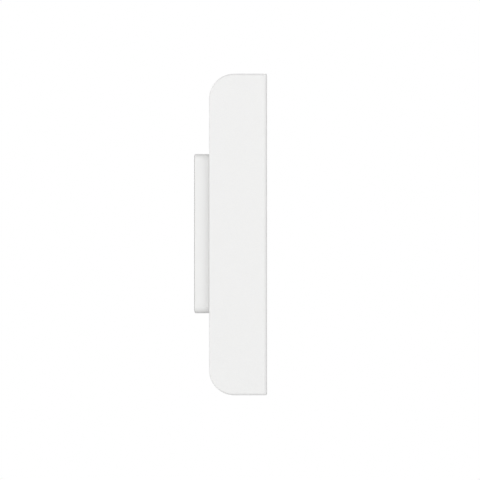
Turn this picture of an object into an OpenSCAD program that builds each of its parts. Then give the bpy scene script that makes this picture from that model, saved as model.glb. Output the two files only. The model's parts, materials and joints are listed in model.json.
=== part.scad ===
// Video doorbell: a slim extruded casing that hangs on four hooks of a small wall bracket.
// The wall is the plane y = 0, +Z is up and the front faces -Y. The origin is the middle of
// the bracket's wall face. Heights in the unit are measured from the middle of its casing,
// and "forward" distances are measured from the wall towards the front.

/* [Body] */
// Width across the front
body_w = 52; // [52:1:58]
// Height of the casing
body_h = 140; // [140:1:150]
// Depth of the casing, from its back to the rim of the front
body_d = 25.2; // [25:0.1:28]
// Radius of the two rear corners, seen from the side
rear_r = 11; // [9:0.5:11]
// Thickness of the casing's walls
wall = 2.6; // [2.4:0.1:2.8]
// Width of the rim round the front panel
rim = 1.8; // [1.6:0.1:2]

/* [Wall bracket] */
// Width of the bracket
bracket_w = 40; // [38:1:44]
// Height of the bracket
bracket_h = 70; // [70:1:76]
// Depth of the bracket
bracket_d = 6.5; // [6.5:0.1:8]
// Radius of the bracket's four corners
bracket_r = 3; // [2.5:0.1:4]
// Thickness of the bracket's plate and walls
bracket_wall = 2.2; // [2:0.1:2.4]
// Distance between the two wall screws
screw_pitch = 60; // [58:0.5:60]
// Radius of the wall screws' holes
wall_hole_r = 2.1; // [1.8:0.1:2.4]
// Radius of the recess for a wall screw's head
head_recess_r = 4; // [3.8:0.1:4]
// Width of the window that the bell wires come through
window_w = 20; // [18:1:20]
// Height of that window
window_h = 26; // [20:1:26]

/* [Hooks] */
// Sideways distance of each hook from the middle
hook_x = 13; // [13:0.1:13.2]
// Height of the upper hooks' lower edge
upper_hook_z = 18; // [17.5:0.1:18.5]
// Height of the lower hooks' lower edge
lower_hook_z = -17.4; // [-17.6:0.1:-17.2]
// Width of a hook
hook_w = 6; // [5:0.1:6]
// How far the unit rises before it comes off the hooks
lift = 4.5; // [4.3:0.1:4.5]

/* [Front] */
// Thickness of the glossy front panel
panel_t = 1.2; // [1:0.1:1.4]
// Height of the camera above the middle
camera_z = 40; // [39:0.5:40]
// Height of the call button below the middle
button_z = -22; // [-22:0.5:-21]
// Height of the speaker below the middle
speaker_z = -52.5; // [-52.5:0.1:-52]
// Height of the microphone and the light sensor
sensor_z = 62.5; // [62:0.1:62.5]
// Sideways distance of the microphone and the light sensor
sensor_x = 8; // [7:0.5:9]

/* [Camera] */
// Radius of the trim ring round the lens
trim_r = 12.4; // [12.2:0.1:12.4]
// Radius of the clear window over the lens
lens_window_r = 9; // [8.6:0.1:9]
// Radius of the lens barrel
barrel_r = 6; // [5.8:0.1:6]
// Radius of the circle that the infrared lamps stand on
lamp_circle_r = 15.5; // [15.4:0.1:15.6]
// Number of infrared lamps
lamps = 6; // [6:2:6]
// Sideways travel of the infrared-cut frame
filter_travel = 5.5; // [5:0.1:5.5]

/* [Call button] */
// Radius of the button's face
button_r = 13; // [12.5:0.1:13]
// Inner radius of the light ring
ring_in_r = 13.4; // [13.4:0.1:13.5]
// Outer radius of the light ring
ring_out_r = 15.4; // [15.2:0.1:15.4]
// Travel of the button
button_travel = 0.6; // [0.3:0.1:0.6]

/* [Speaker] */
// Radius of the loudspeaker
speaker_r = 12.5; // [12:0.1:12.5]
// Number of sound slots in the front
slots = 5; // [3:2:5]

/* [Hidden] */
$fn = 64;

// Gaps between pieces that are fitted by hand and between pieces that slide
fit_gap = 0.2;
slide_gap = 0.1;
seat_gap = 0.1;
// How far the casing hangs below the middle of the bracket
unit_drop = 0.4;

// Forward distances of the casing and of the layers behind the front
back = bracket_d + seat_gap;
front = back + body_d;
inner_back = back + wall;
panel_front = front - 0.15;
panel_back = panel_front - panel_t;
tape_t = 0.3;
frame_front = panel_back - tape_t;
frame_t = 2;
frame_back = frame_front - frame_t;
seal_t = 0.8;
ledge = frame_back - seal_t;

// The main board and its rear side
board_t = 1.2;
board_back = back + 11.3;
board_front = board_back + board_t;
board_w = 43;
board_top = 19;
board_bottom = -36;

// The mouth of the casing and the panel and frame that fill it
mouth_w = body_w - 2 * rim;
mouth_h = body_h - 2 * rim;
mouth_r = 1.1;
panel_w = mouth_w - 2 * fit_gap;
panel_h = mouth_h - 2 * fit_gap;
panel_r = mouth_r - fit_gap;

// Screws that hold the casing to the frame
case_screw_x = 18;
case_screw_z = 54;
case_head_r = 2.7;
case_head_recess = 2.4;
case_post_r = 3.2;
case_boss_end = inner_back + 2.3;

// Small screws of the boards, all alike
screw_r = 0.9;
screw_head_r = 1.7;
screw_head_t = 1;
screw_len = 5;
stake_r = 0.7;

// Terminal recess in the back of the casing
recess = 18;
recess_floor = back + 5;
recess_wall = 1.2;
terminal_x = 4.6;
terminal_z = -0.4;
terminal_r = 1.45;
socket_z = 6.4;
socket_w = 9;
socket_h = 3.2;
reset_z = -6.9;
reset_r = 1.4;
reset_travel = 0.5;

// Hooks and the pockets they sit in
hook_t = 1.6;
hook_neck = 3;
hook_tongue = 4;
tongue_back = inner_back + 0.15;
tongue_front = tongue_back + hook_t;
pocket_end = tongue_front + 0.65;
pocket_wall = 1;
slot_w = hook_w + 0.6;

// Security screw, under the bracket
lock_x = 12.5;
lock_y = 3.4;
lock_head_r = 2.2;
lock_head_t = 1.5;
lock_shank_r = 1.25;
lock_shank_end = -27.2;
insert_r = 2;
insert_bore_r = 1.3;
lug_w = 6.4;
lug_bottom = -31.7;
lug_top = -25.8;
lug_end = 0.6;
insert_top = -27;

// Camera, measured back from the front
window_front = front - 0.7;
window_back = front - 1.8;
trim_end = front - 4.8;
barrel_front = front - 3;
barrel_back = front - 11;
mount_front = front - 7.3;
camera_board_front = front - 13.4;
camera_board_t = 1;
camera_board_back = camera_board_front - camera_board_t;
bracket_plate_t = 0.8;
filter_front = front - 11.3;
filter_t = 0.8;
pane = 5.2;
lamp_board_front = frame_back - 0.95;
lamp_board_t = 1;
lamp_r = 1.5;
lamp_board_r = 18.2;
camera_post_x = 20.9;

// Microphone and light sensor board
sensor_board_front = frame_back - 2.55;
sensor_board_t = 0.8;
sensor_post_x = 12.5;

// Call button
well_r = ring_out_r + 1.5;
well_floor = frame_back - 5.15;
well_floor_t = 1.4;
skirt_r = ring_out_r - 0.7;
skirt_end = frame_back - 1.75;
cap_front = front - 0.3;
cap_end = skirt_end - 1;
switch_front = board_front + 3.5;
switch_size = 6;
plunger_r = 1.75;

// Speaker
chamber_r = speaker_r + 0.4;
sound_r = speaker_r - 2;
mesh_r = sound_r + 1.2;
basket_front = frame_back - 0.75;
basket_back = board_front + 0.9;
magnet_r = speaker_r - 4.2;
slot_h = 1.3;
slot_pitch = 3;

// ---- Helpers ----

// An outline drawn in (x, z), made solid between two forward distances
module slab(from, to) {
    translate([0, -from, 0]) rotate([90, 0, 0]) linear_extrude(to - from) children();
}

// A round bar along the depth
module bar(from, to, r) {
    slab(from, to) circle(r);
}

// A profile drawn in (radius, forward distance), turned about the depth
module turned() {
    rotate([90, 0, 0]) rotate_extrude() children();
}

// A rectangle of the profile above, between two radii and two forward distances
module band(r_in, r_out, from, to) {
    translate([r_in, from]) square([r_out - r_in, to - from]);
}

module at(x, z) {
    translate([x, 0, z]) children();
}

module mirrored_x() {
    children();
    mirror([1, 0, 0]) children();
}

module unit() {
    at(0, -unit_drop) children();
}

module rounded(w, h, r) {
    square([w, h - 2 * r], center = true);
    square([w - 2 * r, h], center = true);
    for (sx = [-1, 1], sz = [-1, 1])
        translate([sx * (w / 2 - r), sz * (h / 2 - r)]) circle(r);
}

// A slot with round ends
module rounded_slot(w, h) {
    square([w - h, h], center = true);
    for (s = [-1, 1]) translate([s * (w - h) / 2, 0]) circle(h / 2);
}

module box(w, h) {
    square([w, h], center = true);
}

module washer(r_out, r_in) {
    difference() {
        circle(r_out);
        circle(r_in);
    }
}

// Side outline of the casing in (y, z): square at the front, round at the two rear corners
module side_profile(inset, mouth) {
    r = rear_r - inset;
    rear = -back - inset;
    half = body_h / 2 - inset;
    translate([-mouth, -half]) square([rear - r + mouth, 2 * half]);
    translate([-mouth, r - half]) square([rear + mouth, 2 * (half - r)]);
    for (s = [-1, 1]) translate([rear - r, s * (half - r)]) circle(r);
}

module casing_block(inset, mouth) {
    w = body_w - 2 * inset;
    translate([-w / 2, 0, 0]) rotate([90, 0, 90]) linear_extrude(w) side_profile(inset, mouth);
}

// The four places of the screws that join casing and frame
module case_screw_places() {
    for (sx = [-1, 1], sz = [-1, 1]) at(sx * case_screw_x, sz * case_screw_z) children();
}

module hook_places() {
    for (sx = [-1, 1], z = [upper_hook_z, lower_hook_z]) at(sx * hook_x, z) children();
}

// Places of the posts on the frame, with the forward distance that each kind reaches back to
BOARD_POSTS = [[18.8, 15], [18.8, -32]];
module board_post_places() {
    for (p = BOARD_POSTS, s = [-1, 1]) at(s * p[0], p[1]) children();
}
module camera_post_places() {
    for (s = [-1, 1]) at(s * camera_post_x, camera_z) children();
}
module lamp_post_places() {
    for (s = [-1, 1]) at(s * 16, camera_z) children();
}
module sensor_post_places() {
    for (s = [-1, 1]) at(s * sensor_post_x, sensor_z) children();
}
module lamp_places() {
    for (i = [0 : lamps - 1]) {
        angle = 30 + i * 360 / lamps;
        at(lamp_circle_r * cos(angle), camera_z + lamp_circle_r * sin(angle)) children();
    }
}

// Outlines of the sound slots, cut in the front panel
module slot_outlines() {
    for (i = [0 : slots - 1]) {
        step = i - (slots - 1) / 2;
        width = 20 - 1.6 * step * step;
        translate([0, speaker_z + step * slot_pitch]) rounded_slot(width, slot_h);
    }
}

// ---- Wall bracket ----

module hook() {
    slab(bracket_d - 1, tongue_front) translate([-hook_w / 2, 0]) square([hook_w, hook_neck]);
    slab(tongue_back, tongue_front)
        translate([-hook_w / 2, 0]) square([hook_w, hook_neck + hook_tongue]);
}

module gasket_outline() {
    outer = 0.5;
    inner = 1.7;
    difference() {
        rounded(bracket_w - 2 * outer, bracket_h - 2 * outer, bracket_r - outer);
        rounded(bracket_w - 2 * inner, bracket_h - 2 * inner, bracket_r - inner);
    }
}

module wall_bracket() {
    plate_back = bracket_d - bracket_wall;
    pad_w = 8;
    pad_top = lug_bottom - 0.3;
    color("white") difference() {
        union() {
            difference() {
                slab(0, bracket_d) rounded(bracket_w, bracket_h, bracket_r);
                slab(-1, plate_back)
                    rounded(bracket_w - 2 * bracket_wall, bracket_h - 2 * bracket_wall,
                            bracket_r - bracket_wall);
            }
            for (s = [-1, 1]) at(0, s * screw_pitch / 2) bar(0, bracket_d - 1, head_recess_r + 0.9);
            at(lock_x, 0) slab(0, bracket_d - 1)
                translate([-pad_w / 2, 0.5 - bracket_h / 2])
                    square([pad_w, pad_top - 0.5 + bracket_h / 2]);
            hook_places() hook();
        }
        slab(-1, seal_t) gasket_outline();
        for (s = [-1, 1]) at(0, s * screw_pitch / 2) {
            bar(-1, bracket_d + 1, wall_hole_r);
            bar(3.6, bracket_d + 1, head_recess_r);
        }
        slab(-1, bracket_d + 1) rounded(window_w, window_h, 1.5);
        // window for the lock lug, tall enough for the unit's lift
        slab(plate_back - 0.1, bracket_d + 1)
            translate([lock_x - lug_w / 2 - 0.4, pad_top])
                square([lug_w + 0.8, lug_top + lift + 0.4 - pad_top]);
        // hole and head recess of the security screw, from below
        translate([lock_x, -lock_y, -bracket_h / 2 - 1]) {
            cylinder(h = 6, r = lock_shank_r + 0.15);
            cylinder(h = 1 + lock_head_t, r = lock_head_r + fit_gap);
        }
    }
}

module wall_gasket() {
    color("dimgray") slab(0, seal_t) gasket_outline();
}

module security_screw() {
    bottom = -bracket_h / 2;
    key_depth = 0.9;
    color("silver") translate([lock_x, -lock_y, bottom]) difference() {
        union() {
            cylinder(h = lock_head_t, r = lock_head_r);
            cylinder(h = lock_shank_end - bottom, r = lock_shank_r);
        }
        translate([0, 0, -1]) cylinder(h = 1 + key_depth, r = 1.15, $fn = 6);
    }
}

// ---- Casing ----

// Solid walls inside the casing: screw bosses, terminal recess, hook pockets and lock lug
module casing_inner_walls() {
    start = back + 0.5;
    case_screw_places() bar(start, case_boss_end, 4.5);
    slab(start, recess_floor + recess_wall) box(recess + 2 * recess_wall, recess + 2 * recess_wall);
    at(0, unit_drop) {
        hook_places() slab(start, pocket_end + pocket_wall) hook_pocket(pocket_wall);
        at(lock_x, 0) slab(lug_end, back + 1)
            translate([-lug_w / 2, lug_bottom]) square([lug_w, lug_top - lug_bottom]);
    }
}

// Outline of the pocket behind a hook's slot, grown by a wall
module hook_pocket(grow) {
    low = -lift - 0.4;
    high = hook_neck + hook_tongue + 0.4;
    translate([-slot_w / 2 - grow, low - grow]) square([slot_w + 2 * grow, high - low + 2 * grow]);
}

module casing_cuts() {
    slab(ledge, front + 1) rounded(mouth_w, mouth_h, mouth_r);
    case_screw_places() {
        bar(back - 1, back + case_head_recess, case_head_r + 0.3);
        bar(back, case_boss_end + 1, 1.4);
    }
    at(0, unit_drop) {
        hook_places() {
            slab(inner_back, pocket_end) hook_pocket(0);
            slab(back - 1, inner_back + 1)
                translate([-slot_w / 2, -lift - 0.4])
                    square([slot_w, lift + 0.4 + hook_neck + slide_gap]);
        }
        translate([lock_x, -lock_y, lug_bottom - 1])
            cylinder(h = insert_top - lug_bottom + 1, r = insert_r);
    }
    // terminal recess and what reaches through its floor
    slab(back - 1, recess_floor) box(recess, recess);
    mirrored_x() at(terminal_x, terminal_z) bar(recess_floor - 1, recess_floor + 2, 1.6);
    at(0, socket_z) slab(recess_floor - 1, recess_floor + 2)
        rounded_slot(socket_w + fit_gap, socket_h + fit_gap);
    at(0, reset_z) bar(recess_floor - 1, recess_floor + 2, reset_r + 0.15);
    // vent, with a shallow recess for its membrane, and the recess for the label
    at(0, 52) {
        bar(back - 1, inner_back + 1, 1.5);
        bar(back - 1, back + 0.5, 3.6);
    }
    at(0, -50) slab(back - 1, back + 0.3) rounded(24, 14, 1);
}

module rear_casing() {
    color("white") unit() {
        difference() {
            union() {
                difference() {
                    casing_block(0, front);
                    casing_block(wall, front + 1);
                }
                casing_inner_walls();
            }
            casing_cuts();
        }
        // rib between the two terminals
        slab(back + 2, recess_floor + 0.2)
            translate([-0.4, terminal_z - 4]) square([0.8, 7.8]);
    }
}

module front_seal() {
    color("dimgray") unit() slab(ledge, frame_back) difference() {
        rounded(mouth_w - 0.1, mouth_h - 0.1, mouth_r);
        box(body_w - 2 * wall, body_h - 2 * wall);
    }
}

module vent_membrane() {
    color("gainsboro") unit() at(0, 52) bar(back + 0.1, back + 0.5, 3.5);
}

module rating_label() {
    color("lightgray") unit() at(0, -50) slab(back + 0.05, back + 0.3) rounded(23.6, 13.6, 0.8);
}

module lock_insert() {
    color("goldenrod") translate([lock_x, -lock_y, lug_bottom]) difference() {
        cylinder(h = insert_top - lug_bottom, r = insert_r);
        translate([0, 0, -1]) cylinder(h = insert_top - lug_bottom + 2, r = insert_bore_r);
    }
}

module case_screws() {
    head_t = 2;
    color("silver") unit() case_screw_places() difference() {
        union() {
            bar(back + case_head_recess - head_t, back + case_head_recess, case_head_r);
            bar(back + case_head_recess - 0.1, case_boss_end + 7, 1.2);
        }
        slab(back, back + case_head_recess - head_t + 1.1) {
            box(2.6, 0.7);
            box(0.7, 2.6);
        }
    }
}

// ---- Frame and front panel ----

module frame_posts() {
    start = frame_back + 0.5;
    case_screw_places() bar(case_boss_end + 0.1, start, case_post_r);
    board_post_places() bar(board_front, start, 2.3);
    camera_post_places() bar(camera_board_back, start, 2.2);
    lamp_post_places() staked_post(start, lamp_board_front, lamp_board_t);
    sensor_post_places() staked_post(start, sensor_board_front, sensor_board_t);
}

// A post with a thin pin through its board, melted over into a head behind it
module staked_post(start, board_face, thickness) {
    end = board_face - thickness - 0.5;
    bar(board_face, start, 1.5);
    bar(end, start, stake_r);
    bar(end, board_face - thickness, stake_r + 0.5);
}

module frame_post_bores() {
    bore_r = screw_r + 0.05;
    case_screw_places() bar(case_boss_end, case_boss_end + 8, 1.25);
    board_post_places() bar(board_front - 1, board_front + screw_len, bore_r);
    camera_post_places() bar(camera_board_back - 1, camera_board_back + screw_len, bore_r);
}

module front_frame() {
    color("dimgray") unit() difference() {
        union() {
            slab(frame_back, frame_front) rounded(panel_w, panel_h, panel_r);
            frame_posts();
            at(0, button_z) bar(well_floor - well_floor_t, frame_back + 0.5, well_r);
            at(0, speaker_z) bar(frame_back - 5, frame_back + 0.5, chamber_r + 1.4);
        }
        frame_post_bores();
        at(0, button_z) {
            bar(well_floor, frame_front + 1, skirt_r + fit_gap);
            bar(well_floor - well_floor_t - 1, well_floor + 1, 4.6);
        }
        at(0, camera_z) bar(frame_back - 1, frame_front + 1, trim_r - 0.4);
        lamp_places() bar(frame_back - 1, frame_front + 1, lamp_r + 0.4);
        at(0, speaker_z) {
            bar(frame_back - 6, frame_back, chamber_r);
            bar(frame_back - 1, frame_front + 1, sound_r);
            bar(frame_front - 0.5, frame_front + 1, mesh_r + fit_gap);
        }
        at(-sensor_x, sensor_z) bar(frame_back - 1, frame_front + 1, 0.9);
        at(sensor_x, sensor_z) bar(frame_back - 1, frame_front + 1, 1.7);
    }
}

// Openings that the panel and the tape behind it share, each grown by a margin
module front_openings(grow) {
    translate([0, button_z]) circle(ring_out_r + fit_gap + grow);
    translate([0, camera_z]) circle(trim_r + fit_gap + grow);
    for (i = [0 : lamps - 1]) {
        angle = 30 + i * 360 / lamps;
        translate([lamp_circle_r * cos(angle), camera_z + lamp_circle_r * sin(angle)])
            circle(1.8 + grow / 4);
    }
    translate([-sensor_x, sensor_z]) circle(0.8 + grow);
    translate([sensor_x, sensor_z]) circle(1.6 + grow);
}

module front_panel() {
    color("black") unit() slab(panel_back, panel_front) difference() {
        rounded(panel_w, panel_h, panel_r);
        front_openings(0);
        slot_outlines();
    }
}

module panel_tape() {
    color("dimgray") unit() slab(frame_front, panel_back) difference() {
        rounded(panel_w - 1, panel_h - 1, panel_r);
        front_openings(0.4);
        translate([0, speaker_z]) circle(mesh_r + 0.6);
    }
}

module front_windows() {
    color("dimgray") unit() {
        lamp_places() bar(panel_back, panel_front - 0.05, 1.75);
        at(sensor_x, sensor_z) bar(panel_back, panel_front - 0.05, 1.55);
    }
}

// ---- Camera ----

module lens_trim() {
    color("dimgray") unit() at(0, camera_z) turned() difference() {
        union() {
            band(lens_window_r - 0.8, trim_r, frame_front, panel_front + 0.05);
            band(lens_window_r - 0.8, trim_r - 0.7, trim_end, frame_front);
        }
        band(0, lens_window_r + 0.1, window_back, front + 1);
        polygon([[0, panel_front - 0.65], [lens_window_r + 0.1, panel_front - 0.65],
                 [lens_window_r + 1.3, panel_front + 0.1], [0, panel_front + 0.1]]);
    }
}

module lens_window() {
    color("lightcyan") unit() at(0, camera_z) bar(window_back, window_front, lens_window_r);
}

module lens_shroud() {
    color("dimgray") unit() at(0, camera_z) turned()
        band(barrel_r + slide_gap, lens_window_r - 1, trim_end - 0.4, barrel_front - 0.2);
}

module lens_barrel() {
    color("dimgray") unit() at(0, camera_z) turned() difference() {
        band(0, barrel_r, barrel_back, barrel_front);
        band(0, 4.8, barrel_front - 2.2, barrel_front + 1);
        band(0, 3.6, barrel_back - 1, barrel_front - 2);
    }
}

module lens_elements() {
    dome_r = 6;
    color("lightcyan") unit() at(0, camera_z) {
        // domed front element
        intersection() {
            bar(barrel_front - 2.15, barrel_front, 4.75);
            translate([0, -(barrel_front - dome_r - 0.2), 0]) sphere(r = dome_r);
        }
        bar(barrel_front - 4.2, barrel_front - 2.9, 3.55);
        bar(barrel_front - 6.4, barrel_front - 5.1, 3.55);
    }
}

module lens_mount() {
    half_travel_w = 18.8;
    color("dimgray") unit() at(0, camera_z) difference() {
        slab(camera_board_front, mount_front) rounded(21, 16, 1.5);
        bar(filter_front, mount_front + 1, barrel_r + 0.05);
        slab(camera_board_front - 1, filter_front + 0.1) box(half_travel_w, 8.4);
    }
}

// Panes stand side by side, one of them behind the lens
module pane_place(first) {
    at(first ? 0 : -filter_travel, camera_z) children();
}

module filter_frame() {
    margin = 0.9;
    color("black") unit() difference() {
        at(-filter_travel / 2, camera_z) slab(filter_front - filter_t, filter_front)
            box(filter_travel + pane + 2 * margin, pane + 2 * margin);
        for (first = [true, false]) pane_place(first)
            slab(filter_front - filter_t - 1, filter_front + 1) box(pane, pane);
    }
}

module pane_solid(first) {
    unit() pane_place(first) slab(filter_front - 0.6, filter_front - 0.2) box(pane, pane);
}

module infrared_pane() {
    color("palevioletred") pane_solid(true);
}

module clear_pane() {
    color("lightcyan") pane_solid(false);
}

module filter_coil() {
    color("peru") unit() translate([-5, -(front - 10.3), camera_z - 10.3])
        rotate([0, 90, 0]) cylinder(h = 10, r = 2.2);
}

module image_sensor() {
    color("darkslategray") unit() at(0, camera_z)
        slab(camera_board_front, camera_board_front + 0.9) box(6.5, 5);
}

module camera_board() {
    color("seagreen") unit() at(0, camera_z) slab(camera_board_back, camera_board_front)
        rounded(24, 26, 1);
}

module camera_bracket() {
    color("silver") unit() slab(camera_board_back - bracket_plate_t, camera_board_back)
        difference() {
            translate([0, camera_z]) {
                translate([0, 1.5]) rounded(26, 23, 1);
                rounded(46, 8, 1);
            }
            for (s = [-1, 1]) translate([s * camera_post_x, camera_z]) circle(screw_r + fit_gap);
        }
}

module camera_flex() {
    flex_t = 0.2;
    flex_front = board_back - 1.5;
    color("orange") unit() slab(flex_front - flex_t, flex_front)
        translate([-5, 13.2]) square([10, 16.4]);
}

module infrared_board() {
    color("seagreen") unit() slab(lamp_board_front - lamp_board_t, lamp_board_front)
        difference() {
            translate([0, camera_z]) washer(lamp_board_r, 12.8);
            for (s = [-1, 1]) translate([s * 16, camera_z]) circle(stake_r + fit_gap);
        }
}

module infrared_lamps() {
    color("dimgray") unit() lamp_places() {
        bar(lamp_board_front, lamp_board_front + lamp_r, lamp_r);
        translate([0, -lamp_board_front - lamp_r, 0]) sphere(r = lamp_r);
    }
}

// ---- Microphone and light sensor ----

module sensor_board() {
    color("seagreen") unit() slab(sensor_board_front - sensor_board_t, sensor_board_front)
        translate([0, sensor_z]) difference() {
            rounded(30, 5.6, 0.8);
            for (s = [-1, 1]) translate([s * sensor_post_x, 0]) circle(stake_r + fit_gap);
        }
}

module light_sensor() {
    color("darkslategray") unit() at(sensor_x, sensor_z)
        slab(sensor_board_front, sensor_board_front + 0.7) box(2, 2);
}

module light_pipe() {
    color("lightcyan") unit() at(sensor_x, sensor_z)
        bar(sensor_board_front + 0.8, frame_front, 1.5);
}

module microphone() {
    color("silver") unit() at(-sensor_x, sensor_z) difference() {
        slab(sensor_board_front, sensor_board_front + 1.1) rounded(3.8, 3, 0.3);
        bar(sensor_board_front + 0.6, sensor_board_front + 2, 0.3);
    }
}

module microphone_boot() {
    color("dimgray") unit() at(-sensor_x, sensor_z)
        slab(sensor_board_front + 1.1, frame_back) washer(2.3, 0.8);
}

// ---- Call button ----

module call_button_cap() {
    skin = 1.6;
    stem_r = 2;
    color("silver") unit() at(0, button_z) turned() difference() {
        union() {
            band(0, button_r, cap_end, cap_front);
            band(0, button_r + 1.4, cap_end, cap_end + 0.95);
        }
        band(stem_r, button_r - skin, cap_end - 1, cap_front - skin);
        band(0, stem_r + 1, cap_end - 1, cap_end + 0.01);
    }
    color("silver") unit() at(0, button_z) bar(switch_front + 1, cap_front - skin + 0.1, stem_r);
}

module button_light_ring() {
    color("white") unit() at(0, button_z) turned() union() {
        band(ring_in_r, ring_out_r, frame_front, panel_front);
        band(ring_in_r, skirt_r, skirt_end, frame_front);
    }
}

module ring_light_board() {
    color("white") unit() at(0, button_z) slab(well_floor, well_floor + 1) washer(skirt_r, 9);
}

module ring_lamps() {
    count = 8;
    color("lightyellow") unit() at(0, button_z) for (i = [0 : count - 1])
        rotate([0, i * 360 / count, 0]) translate([skirt_r - 0.7, 0, 0])
            slab(well_floor + 1, well_floor + 1.6) box(1, 1.6);
}

module button_seal() {
    color("dimgray") unit() at(0, button_z) turned() union() {
        band(2.2, 7.8, well_floor, well_floor + 0.6);
        band(6.6, 7.8, well_floor, well_floor + 1.4);
    }
}

module tact_switches() {
    color("dimgray") unit() {
        at(0, button_z) difference() {
            slab(board_front, switch_front) rounded(switch_size, switch_size, 0.5);
            bar(switch_front - 1 - button_travel, switch_front + 1, plunger_r + slide_gap);
        }
        at(0, reset_z) difference() {
            slab(board_back - 2, board_back) box(4, 3.2);
            bar(board_back - 3, board_back - 1.7 + reset_travel, 1.15);
        }
    }
}

module switch_plunger() {
    color("sienna") unit() at(0, button_z) bar(switch_front - 0.8, switch_front + 1, plunger_r);
}

// ---- Speaker ----

module speaker_mesh() {
    color("black") unit() at(0, speaker_z) bar(frame_front - 0.5, frame_front - 0.05, mesh_r);
}

module speaker_gasket() {
    color("dimgray") unit() at(0, speaker_z) slab(basket_front, frame_back) washer(speaker_r, sound_r);
}

// A stamped cup: a flat rim, a sloping wall and a flat ring that the magnet is fixed to
module speaker_basket() {
    skin = 0.8;
    rim_t = 1.4;
    wall_r = speaker_r - 1.6;
    floor_front = basket_back + 3.9;
    color("silver") unit() at(0, speaker_z) turned() polygon([
        [magnet_r - 1.6, floor_front - skin], [magnet_r, floor_front - skin],
        [wall_r + 0.6, basket_front - rim_t], [speaker_r, basket_front - rim_t],
        [speaker_r, basket_front], [wall_r, basket_front], [wall_r, basket_front - 1],
        [magnet_r - 0.4, floor_front], [magnet_r - 1.6, floor_front]]);
}

module speaker_cone() {
    skin = 0.4;
    edge_r = speaker_r - 1.8;
    edge = basket_front - 0.5;
    color("dimgray") unit() at(0, speaker_z) turned() polygon([
        [3, edge - 2.7], [3.4, edge - 2.7], [edge_r - 2.4, edge - 0.6], [edge_r, edge],
        [edge_r, edge + skin], [edge_r - 2.6, edge - 0.6 + skin], [3, edge - 2.7 + skin]]);
}

module speaker_magnet() {
    color("dimgray") unit() at(0, speaker_z) turned() union() {
        band(0, magnet_r, basket_back, basket_back + 3.1);
        band(0, 2.6, basket_back + 3, basket_front - 3.6);
    }
}

// A flat two-wire lead from the speaker's rim, round the board's lower edge, to its connector
module speaker_lead() {
    lead_t = 0.3;
    lead_w = 3.2;
    left = -20.4;
    low = speaker_z + 5.1;
    near = board_back - 3.1;
    far = basket_back + 1.6;
    color("firebrick") unit() {
        slab(near, near + lead_t) translate([left, low]) square([lead_w, 1 - low]);
        slab(near, far + lead_t) translate([left, low]) square([lead_w, lead_t]);
        slab(far, far + lead_t) translate([left, low]) square([12, lead_w]);
        slab(far, basket_front - 1.4) translate([-9.2, low + 2.6]) square([0.6, 0.6]);
    }
}

// ---- Main board ----

module main_board() {
    middle = (board_top + board_bottom) / 2;
    color("seagreen") unit() slab(board_back, board_front) difference() {
        translate([0, middle]) rounded(board_w, board_top - board_bottom, 1.5);
        for (p = BOARD_POSTS, s = [-1, 1]) translate([s * p[0], p[1]]) circle(screw_r + fit_gap);
    }
}

module board_chips() {
    // forward-facing chips under the shield: width, height, thickness, x, z
    chips = [[12, 12, 1.3, -7, 6], [9, 11, 1.1, 8, 6]];
    // power chips on the rear side
    power = [[4, 5, 1.6, -15.5, 6], [5, 4, 1.5, 15, -3], [4, 4, 1, 15, 5], [5, 5, 2, 0, -17]];
    color("darkslategray") unit() {
        for (c = chips) at(c[3], c[4]) slab(board_front, board_front + c[2]) box(c[0], c[1]);
        for (c = power) at(c[3], c[4]) slab(board_back - c[2], board_back) box(c[0], c[1]);
    }
}

module shield_can() {
    skin = 0.3;
    can_t = 2.2;
    color("silver") unit() at(0, 5.6) difference() {
        slab(board_front, board_front + can_t) box(32, 19);
        slab(board_front - 1, board_front + can_t - skin) box(32 - 2 * skin, 19 - 2 * skin);
    }
}

module antenna() {
    skin = 0.3;
    side = body_w / 2 - wall;
    color("goldenrod") unit()
        translate([side - skin, -(board_front + 6), -18]) cube([skin, 10, 30]);
}

module buffer_capacitors() {
    color("navy") unit() mirrored_x() at(11.5, -30) bar(board_back - 7, board_back, 4);
    color("gray") unit() at(0, -29.5) slab(board_back - 3.5, board_back) rounded(7, 7, 1);
}

module board_connectors() {
    color("ivory") unit() {
        at(-18.8, -1) slab(board_back - 2.8, board_back) box(4.6, 4);
        at(0, 15) slab(board_back - 1.5, board_back) box(12, 3.6);
        at(0, camera_z - 11.6) slab(board_back - 1.5, camera_board_back) box(12, 2.4);
    }
}

// A small screw whose head lies on a face at this forward distance
module small_screw(face) {
    difference() {
        union() {
            bar(face - screw_head_t, face, screw_head_r);
            bar(face - 0.1, face + screw_len, screw_r);
        }
        slab(face - screw_head_t - 1, face - screw_head_t + 0.6) {
            box(1.8, 0.45);
            box(0.45, 1.8);
        }
    }
}

module board_screws() {
    color("silver") unit() {
        board_post_places() small_screw(board_back);
        camera_post_places() small_screw(camera_board_back - bracket_plate_t);
    }
}

// ---- Terminals, reset button and service socket ----

module terminal_block() {
    color("darkgreen") unit() difference() {
        at(0, terminal_z + 0.2) slab(recess_floor + recess_wall, board_back) box(17.6, 8.8);
        mirrored_x() at(terminal_x, terminal_z)
            bar(recess_floor, board_back - 0.8, terminal_r + 0.05);
    }
}

module terminal_plates() {
    color("goldenrod") unit() mirrored_x() at(terminal_x, terminal_z)
        slab(recess_floor - 0.8, recess_floor) difference() {
            rounded(7.4, 7.6, 0.6);
            circle(terminal_r + 0.15);
        }
}

module terminal_screw() {
    head_r = 2.8;
    head_t = 1.8;
    seat = recess_floor - 0.8;
    difference() {
        union() {
            bar(seat - head_t, seat, head_r);
            bar(seat - 0.1, board_back - 1.2, terminal_r);
        }
        slab(seat - head_t - 1, seat - head_t + 0.9) box(2 * head_r + 1, 0.8);
    }
}

module terminal_screw_left() {
    color("silver") unit() at(-terminal_x, terminal_z) terminal_screw();
}

module terminal_screw_right() {
    color("silver") unit() at(terminal_x, terminal_z) terminal_screw();
}

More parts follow.
